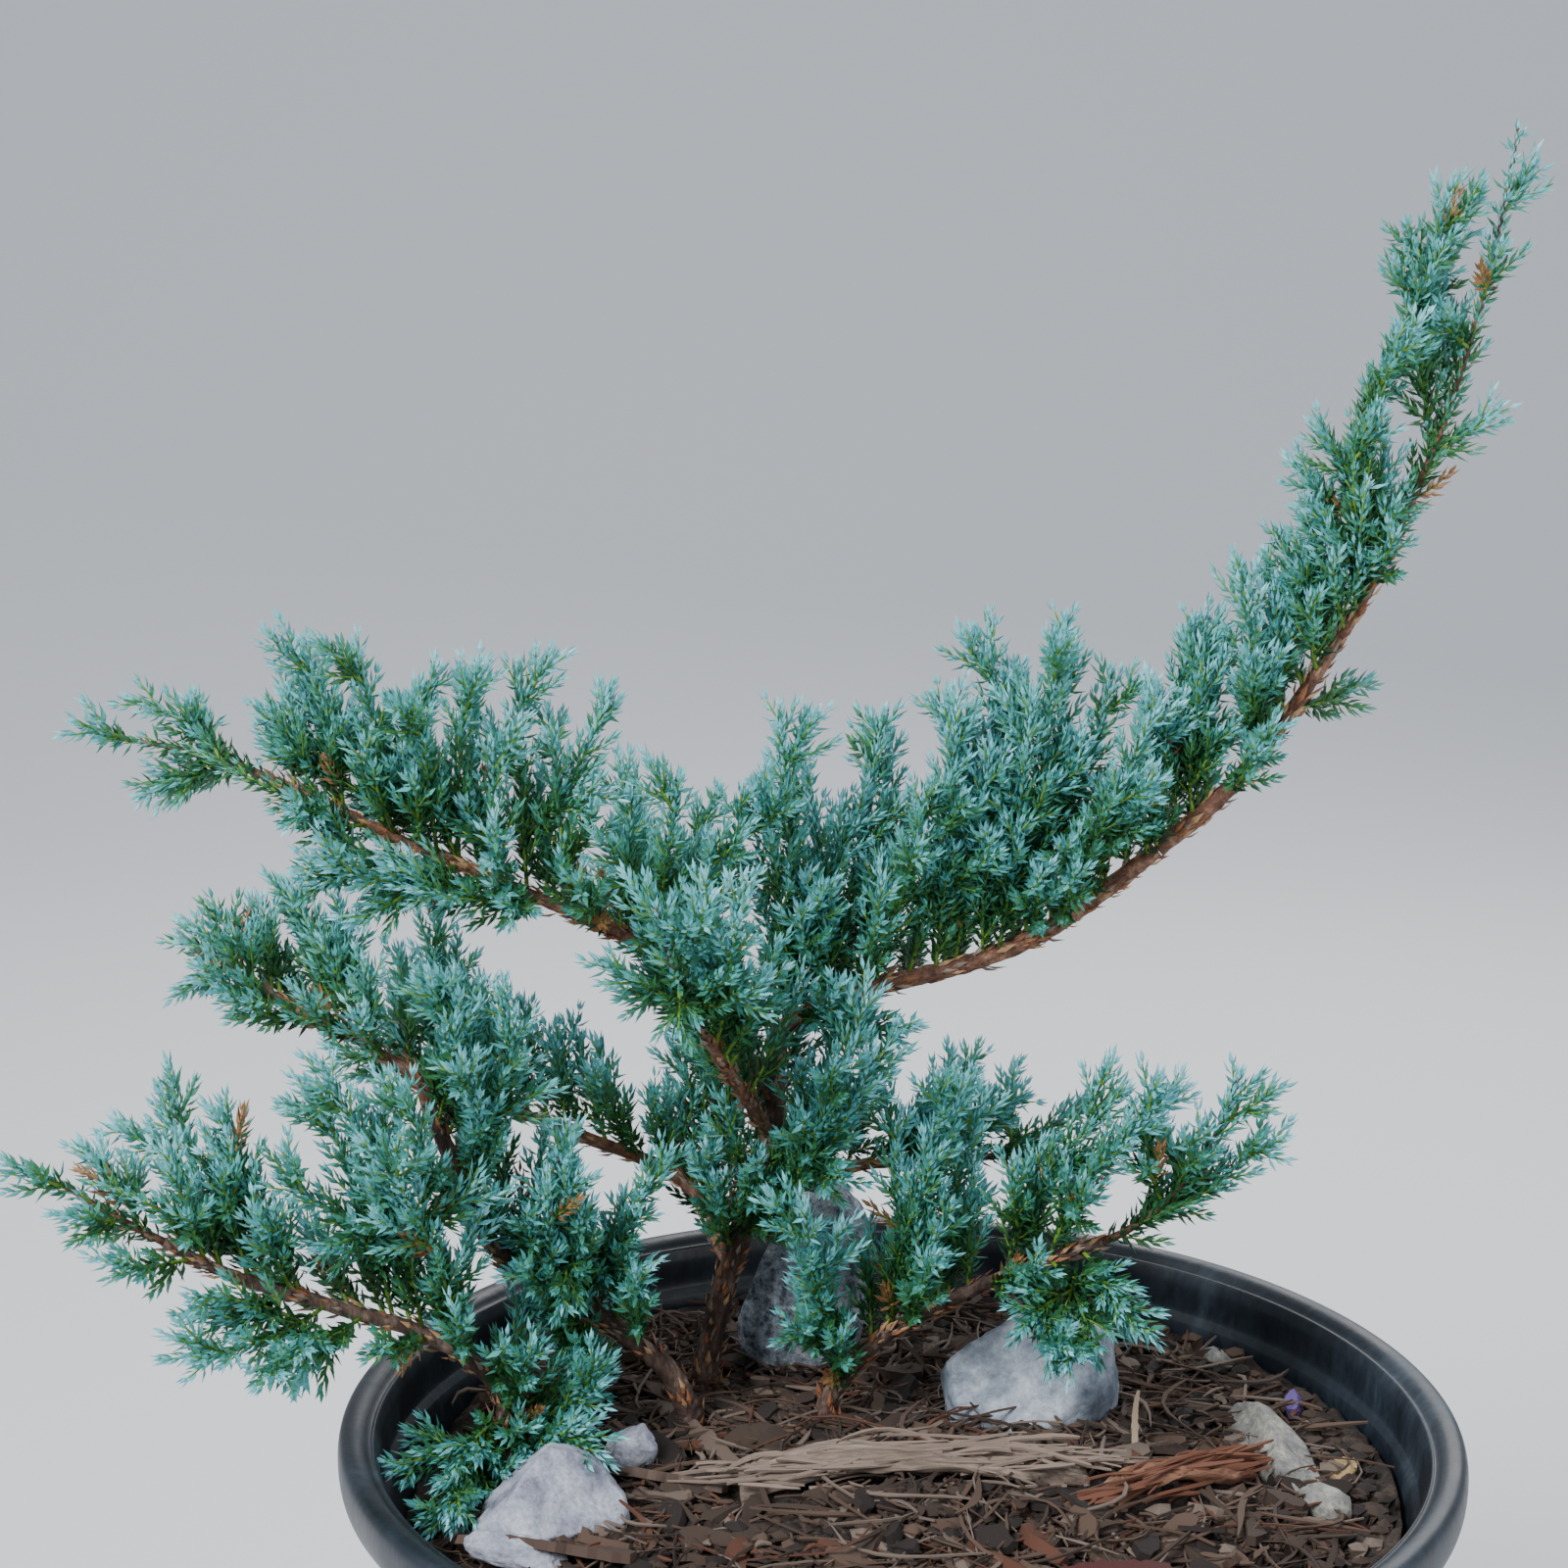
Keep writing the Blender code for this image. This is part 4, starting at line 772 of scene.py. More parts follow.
def bark_skin(path, radii, seed):
    """A tube whose radius swells by waves: long ridges along the limb, and short bumps between."""
    length = run_of(path)[-1]
    places = np.linspace(0, length, max(int(length / BARK_STEP), 8))
    fine = smooth_path(path, len(places))
    radius = refined(radii, len(places))[:, None]
    _, sides, ups = frames_along(fine)
    angle = np.linspace(0, 2 * math.pi, BARK_COLUMNS, endpoint=False)[None]
    spoke = np.cos(angle)[..., None] * sides[:, None] + np.sin(angle)[..., None] * ups[:, None]
    field = np.stack([places[:, None] / RIDGE_LENGTH + 0 * angle, np.cos(angle) + 0 * places[:, None],
                      np.sin(angle) + 0 * places[:, None]], -1)
    swell = (RIDGE_SWELL * waves(field, RIDGE_WAVE, seed)
             + BUMP_SWELL * waves(field * BUMP_SQUEEZE, BUMP_WAVE, seed + 1))
    rings = fine[:, None] + spoke * (radius * (1 + swell))[..., None]
    return skin(rings[None])


paths = limb_paths()
grey_bark = weathered(
    "grey_bark", ((0.30, (0.028, 0.016, 0.013)), (0.48, (0.085, 0.048, 0.036)),
                  (0.66, (0.210, 0.145, 0.115))),
    coarse=240.0, fine=1200.0, roughness=(0.75, 0.95), relief=0.0004, stretch=(1, 1, 0.35), grain=0.6)
rust_bark = weathered(
    "rust_bark", ((0.30, (0.055, 0.024, 0.014)), (0.48, (0.170, 0.075, 0.042)),
                  (0.68, (0.360, 0.210, 0.140))),
    coarse=260.0, fine=1200.0, roughness=(0.70, 0.92), relief=0.0004, grain=0.5)
for number, limb in enumerate(LIMBS):
    wood = grey_bark if limb.parent is None else rust_bark
    bark = bark_skin(*paths[limb.name], BARK_SEED + 3 * number)
    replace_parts(add_piece("bark_" + limb.name, *bark, wood, "bark"), limb.name)


# Foliage: awl-shaped needles in whorls of three on green shoots that fan forward from each bough, in
# flat plumes. The newest are pale blue with wax and pressed to the shoot, and older ones stand out
# green. Every mass grows by the part's own rule and goes on to finer twigs within the same reach.
SEED = 7
FAMILY_SEED = 300
NEEDLE_SEED = 500
PLUME_SEED = 700
SHOOT_LENGTH = 0.022
SHOOT_ANGLE = math.radians(42)
SHOOT_SPACING = 0.0135
SHOOTS_BEGIN = 0.22
SHOOTS_SPAN = 0.60
BARE_STEM = 0.005
BARE_SHOOT = 0.002
BARE_PLUME = 0.004
BARE_TWIG = 0.0006
FORK_DROP = 0.16
FORKS_BEGIN = 0.20
FORK_STEP = 0.12
STEM_SHARE_WITH_SHOOTS = 0.62
LONGEST_SHOOT_SHARE = 0.45
GOLDEN_ANGLE = math.radians(137.5)
Mass = namedtuple("Mass", "name limb seat tip forks spread shoots")
MASSES = (
    Mass("long_bough_leader", "long_bough_outer", 1.0, (0.153, 0.060, 0.556), (195, 160, 230), 0.013, 4),
    Mass("long_spray_10", "long_bough_outer", 0.84, (0.114, 0.050, 0.482), (40,), 0.010, 3),
    Mass("long_spray_9", "long_bough_outer", 0.62, (0.105, 0.061, 0.462), (190,), 0.010, 3),
    Mass("long_spray_8", "long_bough_outer", 0.34, (0.088, 0.048, 0.441), (30,), 0.011, 3),
    Mass("long_spray_7", "long_bough_outer", 0.06, (0.076, 0.061, 0.431), (330,), 0.008, 3),
    Mass("long_spray_6", "long_bough_inner", 0.88, (0.065, 0.038, 0.413), (), 0.010, 4),
    Mass("long_spray_5", "long_bough_inner", 0.71, (0.041, 0.048, 0.433), (20,), 0.015, 4),
    Mass("long_spray_4", "long_bough_inner", 0.62, (0.023, 0.060, 0.432), (), 0.010, 5),
    Mass("long_spray_3", "long_bough_inner", 0.48, (0.014, 0.040, 0.413), (0,), 0.010, 4),
    Mass("long_spray_2", "long_bough_inner", 0.33, (-0.004, 0.062, 0.406), (), 0.010, 4),
    Mass("long_spray_1", "long_bough_inner", 0.20, (-0.031, 0.036, 0.412), (), 0.010, 5),
    Mass("upper_left_leader", "upper_left_bough", 1.0, (-0.203, 0.030, 0.405), (0, 180, 20), 0.013, 3),
    Mass("upper_left_spray_1", "upper_left_bough", 0.92, (-0.152, 0.044, 0.418), (180,), 0.012, 3),
    Mass("upper_left_spray_2", "upper_left_bough", 0.85, (-0.137, 0.030, 0.428), (), 0.010, 3),
    Mass("upper_left_spray_3", "upper_left_bough", 0.76, (-0.110, 0.038, 0.419), (180,), 0.015, 3),
    Mass("upper_left_spray_4", "upper_left_bough", 0.66, (-0.098, 0.050, 0.420), (0,), 0.022, 3),
    Mass("upper_left_low_spray", "upper_left_bough", 0.70, (-0.146, 0.004, 0.379), (180,), 0.010, 4),
    Mass("upper_centre_mass", "upper_left_bough", 0.46, (-0.056, 0.028, 0.396), (0, 200), 0.020, 4),
    Mass("mid_left_leader", "mid_left_bough", 1.0, (-0.181, 0.020, 0.356), (0, 180), 0.011, 3),
    Mass("mid_left_spray", "mid_left_bough", 0.50, (-0.155, 0.030, 0.366), (20,), 0.011, 3),
    Mass("mid_left_fan", "mid_left_stem", 0.88, (-0.112, 0.004, 0.349), (0,), 0.016, 4),
    Mass("low_left_leader", "low_left_stem", 1.0, (-0.209, -0.018, 0.307), (0, 270), 0.012, 3),
    Mass("low_left_spray", "low_left_stem", 0.80, (-0.183, -0.006, 0.320), (10,), 0.014, 3),
    Mass("low_left_under", "low_left_stem", 0.70, (-0.168, -0.044, 0.270), (120,), 0.013, 4),
    Mass("low_left_mass", "low_left_stem", 0.52, (-0.142, -0.014, 0.334), (0, 200), 0.018, 4),
    Mass("centre_mass", "centre_stem", 1.0, (-0.086, 0.004, 0.304), (0, 180, 270), 0.022, 5),
    Mass("front_mass", "front_bough", 1.0, (-0.060, -0.020, 0.374), (0, 180, 270), 0.018, 4),
    Mass("low_right_leader", "low_right_stem", 1.0, (0.084, 0.010, 0.324), (0, 180, 90), 0.015, 4),
    Mass("low_right_spray_1", "low_right_stem", 0.60, (0.016, 0.026, 0.316), (180,), 0.014, 4),
    Mass("low_right_spray_2", "low_right_stem", 0.36, (-0.024, 0.004, 0.292), (), 0.012, 4),
    Mass("trunk_side_spray", "trunk", 0.62, (-0.008, 0.024, 0.345), (300,), 0.013, 4),
    Mass("low_right_under", "low_right_stem", 0.90, (0.046, -0.020, 0.262), (0, 180), 0.016, 3),
    Mass("foot_spray_left", "low_left_stem", 0.17, (-0.112, -0.032, 0.226), (160,), 0.016, 4),
    Mass("foot_spray_right", "low_left_stem", 0.21, (-0.074, -0.010, 0.250), (270,), 0.010, 3),
    Mass("back_mass", "back_bough", 1.0, (-0.075, 0.150, 0.365), (0, 180, 270), 0.020, 5),
    Mass("back_left_mass", "back_left_bough", 1.0, (-0.150, 0.095, 0.330), (0, 180, 270), 0.020, 5),
    Mass("back_right_mass", "back_right_bough", 1.0, (0.056, 0.118, 0.283), (0, 180, 90), 0.018, 5),
)
# Finer growth: twigs on every stem, and the needles' length and lean at a shoot's foot and tip. A
# needle's width is a share of its length.
TWIG_SPACING = 0.0030
TWIG_LENGTH = 0.0125
TWIG_ANGLE = math.radians(42)
TWIG_TAPER = 0.45
TWIG_SIZES = (0.65, 1.15)
TWIG_PAST_TIP = 0.003
WHORL_SPACING = 0.0015
NEEDLE_LENGTHS = (0.0050, 0.0038)
NEEDLE_ANGLES = (math.radians(48), math.radians(18))
NEEDLE_WIDTH = 0.29
# One twig in this many of the older half of a stem is dead, which its needles' age tells
TWIGS_PER_DEAD_ONE = 35
DEAD_AGE = -9.0
# Sisters of each mass sit this far back and on along its limb, as shares of the limb
SISTER_STEPS = (-0.06, 0.06)
SISTER_SIZES = (0.72, 0.90)
SISTER_SHOOTS = 3
SISTER_SEATS = (0.10, 0.97)
# Sisters of a mass at a limb's end: the first one's seat, how many steps further back the second one
# sits, and how much higher both end
END_SISTER_SEAT = 0.90
END_SISTER_STEP = 1.5
END_SISTER_RISE = 0.010
# Masses without sisters, so that the stone behind them shows
LONE_MASSES = ("low_right_spray_2",)
# Masses whose main stem ends in a slim leader: at its tip the twigs lose this share of their length
# and the stem's own needles half of it
SLIM_MASSES = ("long_bough_leader", "long_spray_10", "upper_left_leader", "low_left_leader")
SLIMNESS = 0.85
# Plumes clothe the limbs between the masses
PLUME_SPACING = 0.0050
PLUME_POINTS = 60
# The way a plume leans, as middle and spread of each direction, and the spread of lean and length
PLUME_WISH = ((0.0, 0.5), (0.0, 0.85), (0.75, 0.5))
PLUME_LEANS = (0.75, 1.15)
PLUME_LENGTHS = (0.70, 1.12)
PLUME_RISE = np.array((0, 0, 0.25))
PLUME_FOOT = 0.0008
# Each limb with plumes: its name, where they begin and end, their length, and their lean in degrees
BOUGH_PLUMES = (
    ("long_bough_inner", 0.10, 1.00, 0.036, 82), ("long_bough_outer", 0.00, 0.95, 0.024, 60),
    ("upper_left_bough", 0.30, 0.97, 0.026, 62), ("front_bough", 0.10, 0.95, 0.036, 64),
    ("mid_left_stem", 0.40, 1.00, 0.035, 60), ("mid_left_bough", 0.00, 0.95, 0.028, 55),
    ("low_left_stem", 0.28, 0.97, 0.029, 55), ("low_right_stem", 0.32, 0.97, 0.034, 70),
    ("centre_stem", 0.25, 0.98, 0.034, 62), ("trunk", 0.52, 0.98, 0.026, 50),
    ("back_bough", 0.20, 0.95, 0.034, 55), ("back_left_bough", 0.14, 0.95, 0.036, 58),
    ("back_right_bough", 0.25, 0.95, 0.032, 62),
)


def share_of(path, place):
    """The step of the path that holds this share of its points, and the point on that step."""
    index = place * (len(path) - 1)
    low = min(int(index), len(path) - 2)
    return low, path[low] + (path[low + 1] - path[low]) * (index - low)


def arc(start, tip, heading, bend=0.45, count=9):
    """A quadratic curve from start to tip that sets off along heading."""
    length = float(np.linalg.norm(tip - start))
    middle = start + heading * length * bend
    t = np.linspace(0, 1, count)[:, None]
    return (1 - t) ** 2 * start + 2 * t * (1 - t) * middle + t**2 * tip


def shoot_from(path, frames, place, azimuth, length, angle):
    """A side shoot: it leaves the path at this place and bends forward to the path's heading."""
    low, start = share_of(path, place)
    tangents, sides, ups = frames
    spoke = math.cos(azimuth) * sides[low] + math.sin(azimuth) * ups[low]
    heading = math.cos(angle) * tangents[low] + math.sin(angle) * spoke
    tip = start + length * unit(heading + 0.35 * tangents[low])
    return arc(start, tip, heading, 0.4, 5)


def mass_shoots(mass, dice):
    """The mass's main stem, forks and side shoots, each as (path, bare foot), by the part's rule.

    A mass at its limb's end goes on from there, and any other leaves the limb at an angle. Forks
    leave the main stem one after another, each with its own turn. Side shoots are as many as fit
    at their spacing, up to the mass's own number, and grow shorter up the stem.
    """
    limb_points, limb_radii = paths[mass.limb]
    low, centre = share_of(limb_points, mass.seat)
    along = unit(limb_points[low + 1] - limb_points[low])
    tip = np.array(mass.tip)
    aim = unit(tip - centre)
    if mass.seat >= 1.0:
        start = limb_points[-1] - along * 0.001
        heading = along
    else:
        outward = unit(aim - along * float(aim @ along))
        heading = unit(outward + 0.55 * along + 0.3 * aim)
        start = centre + outward * 0.6 * limb_radii[low]
    main = arc(start, tip, heading)
    shoots = [(main, BARE_STEM)]
    length = float(np.linalg.norm(tip - start))
    right = unit(np.cross(np.cross(aim, (1.0, 0.0, 0.0)), aim) + 1e-6)
    back = np.cross(aim, right)
    for number, degrees in enumerate(mass.forks):
        turn = math.radians(degrees)
        place = FORKS_BEGIN + FORK_STEP * number
        root = main[round(place * (len(main) - 1))]
        sideways = math.cos(turn) * right + math.sin(turn) * back
        goal = tip + sideways * mass.spread - aim * FORK_DROP * length * (number + 1)
        shoots.append((arc(root, goal, unit(unit(goal - root) + 0.5 * sideways)), BARE_STEM))
    azimuth = dice.uniform(0, 2 * math.pi)
    for stem, _ in list(shoots):
        stem_length = float(np.linalg.norm(stem[-1] - stem[0]))
        count = min(mass.shoots, round(STEM_SHARE_WITH_SHOOTS * stem_length / SHOOT_SPACING))
        frames = frames_along(stem)
        for number in range(count):
            place = SHOOTS_BEGIN + SHOOTS_SPAN * number / max(count - 1, 1)
            reach = SHOOT_LENGTH * (1.15 - 0.55 * place) * dice.uniform(0.85, 1.1)
            reach = min(reach, LONGEST_SHOOT_SHARE * stem_length)
            shoot = shoot_from(stem, frames, place, azimuth, reach, SHOOT_ANGLE)
            shoots.append((shoot, BARE_SHOOT))
            azimuth += GOLDEN_ANGLE
    return shoots


def point_on(limb, seat):
    """The point of the limb's centre line at this share of it."""
    points = paths[limb][0]
    return at_distances(points, np.linspace(0, 1, len(points)), seat)


def family(mass, dice):
    """The mass and its sisters, the same shoots set a little back or on along the limb.

    A sister's tip moves with its seat, its stem is shorter by a tenth to a quarter, and a sister
    of a limb's end sits behind that end and higher.
    """
    members = [mass]
    if mass.name in LONE_MASSES:
        return members
    for step in SISTER_STEPS:
        if mass.seat >= 1.0:
            seat = END_SISTER_SEAT - END_SISTER_STEP * (step > 0) * step
            rise = END_SISTER_RISE
        else:
            seat = min(max(mass.seat + step, SISTER_SEATS[0]), SISTER_SEATS[1])
            rise = 0.0
        size = dice.uniform(*SISTER_SIZES)
        tip = point_on(mass.limb, seat) + size * (np.array(mass.tip) - point_on(mass.limb, mass.seat))
        tip = tip + (dice.uniform(-0.004, 0.004), math.copysign(dice.uniform(0.005, 0.012), step), rise)
        members.append(mass._replace(seat=seat, tip=tuple(tip), forks=(), shoots=SISTER_SHOOTS))
    return members


def bough_plumes(limb, first, last, length, lean, dice):
    """Plumes along a limb's upper sides: each leans from the limb by an angle and bends upwards."""
    points = smooth_path(paths[limb][0], PLUME_POINTS)
    run = float(np.linalg.norm(np.diff(points, axis=0), axis=1).sum())
    tangents, _, _ = frames_along(points)
    plumes = []
    for place in np.arange(first, last, PLUME_SPACING / run):
        low = min(int(place * (PLUME_POINTS - 1)), PLUME_POINTS - 2)
        wish = np.array([middle + dice.normal(0, spread) for middle, spread in PLUME_WISH])
        spoke = unit(wish - tangents[low] * float(wish @ tangents[low]))
        angle = math.radians(lean) * dice.uniform(*PLUME_LEANS)
        heading = math.cos(angle) * tangents[low] + math.sin(angle) * spoke
        reach = length * dice.uniform(*PLUME_LENGTHS)
        tip = points[low] + reach * unit(heading + PLUME_RISE)
        plumes.append(arc(points[low] + PLUME_FOOT * spoke, tip, heading, count=7))
    return plumes


def fine_twigs(path, bare, dice, slim=0.0):
    """Twigs all along a stem, turned by the golden angle, shorter towards its tip.

    slim is the further share that the twigs at the very tip lose.
    """
    length = float(np.linalg.norm(np.diff(path, axis=0), axis=1).sum())
    frames = frames_along(path)
    azimuth = dice.uniform(0, 2 * math.pi)
    twigs = []
    for number in range(int((length - bare) / TWIG_SPACING)):
        place = (bare + (number + 0.5) * TWIG_SPACING) / length
        reach = TWIG_LENGTH * (1.0 - TWIG_TAPER * place) * (1.0 - slim * place)
        reach = min(reach * dice.uniform(*TWIG_SIZES), (1 - place) * length + TWIG_PAST_TIP)
        twigs.append((shoot_from(path, frames, place, azimuth, reach, TWIG_ANGLE), place))
        azimuth += GOLDEN_ANGLE
    return twigs


POT_MARGIN = 0.002
LIMB_MARGIN = 0.0006
limb_points_all = np.concatenate([smooth_path(path, 6 * len(path)) for path, _ in paths.values()])
limb_radii_all = np.concatenate([refined(radii, 6 * len(path)) for path, radii in paths.values()])


def in_the_way(path):
    """True where a twig, from its third point on, comes into a limb, the pot's wall or the mix."""
    ends = path[2:]
    from_axis = np.hypot(ends[:, 0], ends[:, 1])
    over_mix = from_axis < INNER_TOP_RADIUS
    over_wall = ~over_mix & (from_axis < RIM_RADIUS + POT_MARGIN)
    floor_z = np.where(over_mix, ground(ends[:, 0], ends[:, 1]), POT_HEIGHT) + POT_MARGIN
    if ((over_mix | over_wall) & (ends[:, 2] < floor_z)).any():
        return True
    apart = np.linalg.norm(ends[:, None] - limb_points_all[None], axis=2) - limb_radii_all[None]
    return bool((apart < LIMB_MARGIN).any())


# The spread of the needles' lean, turn and length, how far out of the shoot's middle they are rooted,
# and how much younger and paler a needle is made whose inner, waxy side faces up, and older and darker
# whose inner side faces down: partly the waxy side, partly painted light on top and painted shade beneath
LEAN_SHARES = (0.80, 1.20)
TURN_SHAKE = 0.25
LENGTH_SHARES = (0.85, 1.12)
NEEDLE_SEAT = 0.00025
WAX_AND_PAINTED_LIGHT_UP = 0.16
# A needle's widest place as a share of its length, its keel as a share of half its width, and how far
# its tip bends in
NEEDLE_WAIST = 0.42
NEEDLE_KEEL = 0.75
NEEDLE_HOOK = 0.05


def whorls(path, bare, youth, dice, size=1.0):
    """Needles on one shoot: for each, its root, direction, inner side, length and age.

    Whorls of three stand a fixed space apart and turn by 60 degrees. From the shoot's foot to its
    tip the needles grow shorter, in the end by the factor size as well, and lean closer to it.
    youth is (at its foot, at its tip), from 0, old and green, to 1, new and pale.
    """
    run = run_of(path)
    count = max(int((run[-1] - bare) / WHORL_SPACING), 2)
    places = np.linspace(bare, run[-1], count)
    share = np.linspace(0, 1, count)
    points = at_distances(path, run, places)
    tangents, sides, ups = frames_along(points)
    lean = NEEDLE_ANGLES[0] + (NEEDLE_ANGLES[1] - NEEDLE_ANGLES[0]) * share
    lean = lean[:, None] * dice.uniform(*LEAN_SHARES, (count, 3))
    turn = (np.arange(count)[:, None] * math.pi / 3 + np.arange(3)[None] * 2 * math.pi / 3
            + dice.uniform(0, FULL_TURN) + dice.uniform(-TURN_SHAKE, TURN_SHAKE, (count, 3)))
    spoke = np.cos(turn)[..., None] * sides[:, None] + np.sin(turn)[..., None] * ups[:, None]
    ahead = np.cos(lean)[..., None] * tangents[:, None] + np.sin(lean)[..., None] * spoke
    inner = np.sin(lean)[..., None] * tangents[:, None] - np.cos(lean)[..., None] * spoke
    length = (NEEDLE_LENGTHS[0] + (NEEDLE_LENGTHS[1] - NEEDLE_LENGTHS[0]) * share)[:, None]
    length = length * (1 + (size - 1) * share[:, None])
    length = length * dice.uniform(*LENGTH_SHARES, (count, 3))
    # Age rises where the inner side faces up and falls where it faces down: partly the waxy side, partly
    # painted light and painted shade
    age = youth[0] + (youth[1] - youth[0]) * share[:, None] + WAX_AND_PAINTED_LIGHT_UP * inner[..., 2]
    root = points[:, None] + spoke * NEEDLE_SEAT
    return [array.reshape(count * 3, -1) for array in (root, ahead, inner, length, age)]


def needle_mesh(root, ahead, inner, length):
    """Needles of six faces: three corners a little short of half way from the root to the tip.

    Two corners stand out sideways by half the width and the third is the keel behind.
    """
    side = np.cross(ahead, inner)
    middle = root + NEEDLE_WAIST * length * ahead
    half = 0.5 * NEEDLE_WIDTH * length
    points = np.stack([
        root, middle + side * half, middle - inner * NEEDLE_KEEL * half, middle - side * half,
        root + length * ahead + inner * NEEDLE_HOOK * length], axis=1)
    one = np.array([(2, 1, 0), (3, 2, 0), (1, 3, 0), (1, 2, 4), (2, 3, 4), (3, 1, 4)])
    triangles = one[None] + 5 * np.arange(len(root))[:, None, None]
    return points.reshape(-1, 3), triangles.reshape(-1, 3)


def twig_mesh(stems, radius_foot, radius_tip, columns):
    """Round twigs of a few sides through each stem's points, tapering evenly to the tip."""
    stems = np.array(stems)
    tangents = np.gradient(stems, axis=1)
    tangents /= np.linalg.norm(tangents, axis=2)[..., None]
    side = np.cross(tangents, (0.31, 0.12, 0.94))
    side /= np.linalg.norm(side, axis=2)[..., None]
    up = np.cross(tangents, side)
    angle = np.arange(columns) * 2 * math.pi / columns
    radius = np.linspace(radius_foot, radius_tip, stems.shape[1])[None, :, None, None]
    spoke = (side[:, :, None] * np.cos(angle)[None, None, :, None]
             + up[:, :, None] * np.sin(angle)[None, None, :, None])
    return skin(stems[:, :, None] + radius * spoke)


needles = []
woody_stems = []
green_stems = []
green_twigs = []
# A stem's foot has FOOT_AGE, and more where it starts further up its parent, and its tip has TIP_AGE.
# A twig's foot is younger the further up the stem it stands, and its tip is younger again.
FOOT_AGE = -0.12
AGE_PER_START = 0.42
TIP_AGE = 0.90
AGE_SHAKE = 0.07
TWIG_AGE_RISE = 0.60
TWIG_RISE_LOSS = 0.35
TWIG_AGE_SPAN = 0.40
STEM_POINTS = 9


def clothe(stem, bare, shake, since=0.0, slim=0.0):
    """Adds a stem's needles and its twigs with theirs, from green at the foot to pale at the tip.

    since is how far up its parent the stem starts, which makes its foot younger. In the older
    half a few twigs are dead and tan.
    """
    green_stems.append(smooth_path(stem, STEM_POINTS))
    tone = AGE_SHAKE * shake.normal()
    base = AGE_PER_START * since + tone + FOOT_AGE
    needles.append(whorls(stem, 0.5 * bare, (base, TIP_AGE + tone), shake, 1 - 0.5 * slim))
    for twig, place in fine_twigs(stem, bare, shake, slim):
        if in_the_way(twig):
            continue
        green_twigs.append(twig)
        foot = base + (TWIG_AGE_RISE - TWIG_RISE_LOSS * since) * place + AGE_SHAKE * shake.normal()
        dead = place < 0.5 and shake.uniform() < 1 / TWIGS_PER_DEAD_ONE
        youth = (DEAD_AGE, DEAD_AGE) if dead else (foot, foot + TWIG_AGE_SPAN)
        needles.append(whorls(twig, BARE_TWIG, youth, shake, 1 - 0.4 * slim * place))


for number, mass in enumerate(MASSES):
    dice = random.Random(SEED + number)
    shake = np.random.default_rng(NEEDLE_SEED + number)
    for member in family(mass, random.Random(FAMILY_SEED + number)):
        shoots = mass_shoots(member, dice)
        trunk_foot, trunk_tip = shoots[0][0][0], shoots[0][0][-1]
        for order, (stem, bare) in enumerate(shoots):
            if in_the_way(stem) and (order or member is not mass):
                continue
            if member is mass and mass.seat >= 1.0 and order == 0:
                woody_stems.append(smooth_path(stem, STEM_POINTS))
            slim = SLIMNESS if mass.name in SLIM_MASSES and order == 0 else 0.0
            since = np.linalg.norm(stem[0] - trunk_foot) / np.linalg.norm(trunk_tip - trunk_foot)
            clothe(stem, bare, shake, min(since, 1.0), slim)
for number, (limb, first, last, reach, lean) in enumerate(BOUGH_PLUMES):
    shake = np.random.default_rng(PLUME_SEED + number)
    for stem in bough_plumes(limb, first, last, reach, lean, shake):
        if not in_the_way(stem):
            clothe(stem, BARE_PLUME, shake)

root, ahead, inner, length, age = (np.concatenate(column) for column in zip(*needles))
# Needles that would end in the mix or past the shrub's own box are left off
MIX_MARGIN = 0.0005
REACH_MARGIN = 0.004
tips = root + ahead * length
from_axis = np.hypot(tips[:, 0], tips[:, 1])
sunk = (from_axis < RIM_RADIUS) & (tips[:, 2] < ground(tips[:, 0], tips[:, 1]) + MIX_MARGIN)
box_low, box_high = (np.array(corner) for corner in cad_box)
outside = (tips < box_low - REACH_MARGIN).any(axis=1) | (tips > box_high + REACH_MARGIN).any(axis=1)
keep = ~sunk & ~outside
root, ahead, inner, length, age = (array[keep] for array in (root, ahead, inner, length, age[:, 0]))

# The needles' colours from old to new, each with the age at which it gives way to the next. A needle's
# age also holds the painted light on its upper side and the painted shade on its under side.
NEEDLE_COLOURS = (
    ("dead_tan", -5.00, (0.300, 0.150, 0.060)),
    # The darkest green, dealt to the oldest needles at the stems' feet deep in the shrub, is partly their
    # old green and partly painted shade
    ("old_green_and_shade", 0.16, (0.014, 0.085, 0.026)),
    ("leaf_green", 0.34, (0.030, 0.165, 0.052)),
    ("sea_green", 0.52, (0.055, 0.260, 0.170)),
    ("teal", 0.74, (0.095, 0.390, 0.370)),
    ("pale_blue", 0.98, (0.180, 0.540, 0.580)),
    ("ice_blue", 9.00, (0.300, 0.670, 0.720)),
)
NEEDLE_ROUGHNESS = 0.55
MOST_NEEDLES = 32000
mass_names = [mass.name for mass in MASSES]
shade = np.searchsorted([limit for _, limit, _ in NEEDLE_COLOURS], age)
for index, (name, _, colour) in enumerate(NEEDLE_COLOURS):
    chosen = np.flatnonzero(shade == index)
    wax = plain("needle_" + name, colour, NEEDLE_ROUGHNESS)
    for part in range(0, len(chosen), MOST_NEEDLES):
        group = chosen[part:part + MOST_NEEDLES]
        mesh = needle_mesh(root[group], ahead[group], inner[group], length[group])
        piece = add_piece(f"needles_{name}_{part // MOST_NEEDLES + 1}", *mesh, wax, "needles", smooth=False)
        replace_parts(piece, *mass_names)

# The stems' radii at foot and tip, and the sides of a section
lime_shoot = plain("lime_shoot", (0.150, 0.300, 0.030), 0.6)
for name, stems, radii, columns, material, slot in (
        ("green_stems", green_stems, (0.00062, 0.00030), 5, lime_shoot, "needles"),
        ("green_twigs", green_twigs, (0.00036, 0.00020), 3, lime_shoot, "needles"),
        ("woody_stems", woody_stems, (0.00115, 0.00040), 5, rust_bark, "bark")):
    add_piece(name, *twig_mesh(stems, *radii, columns), material, slot)


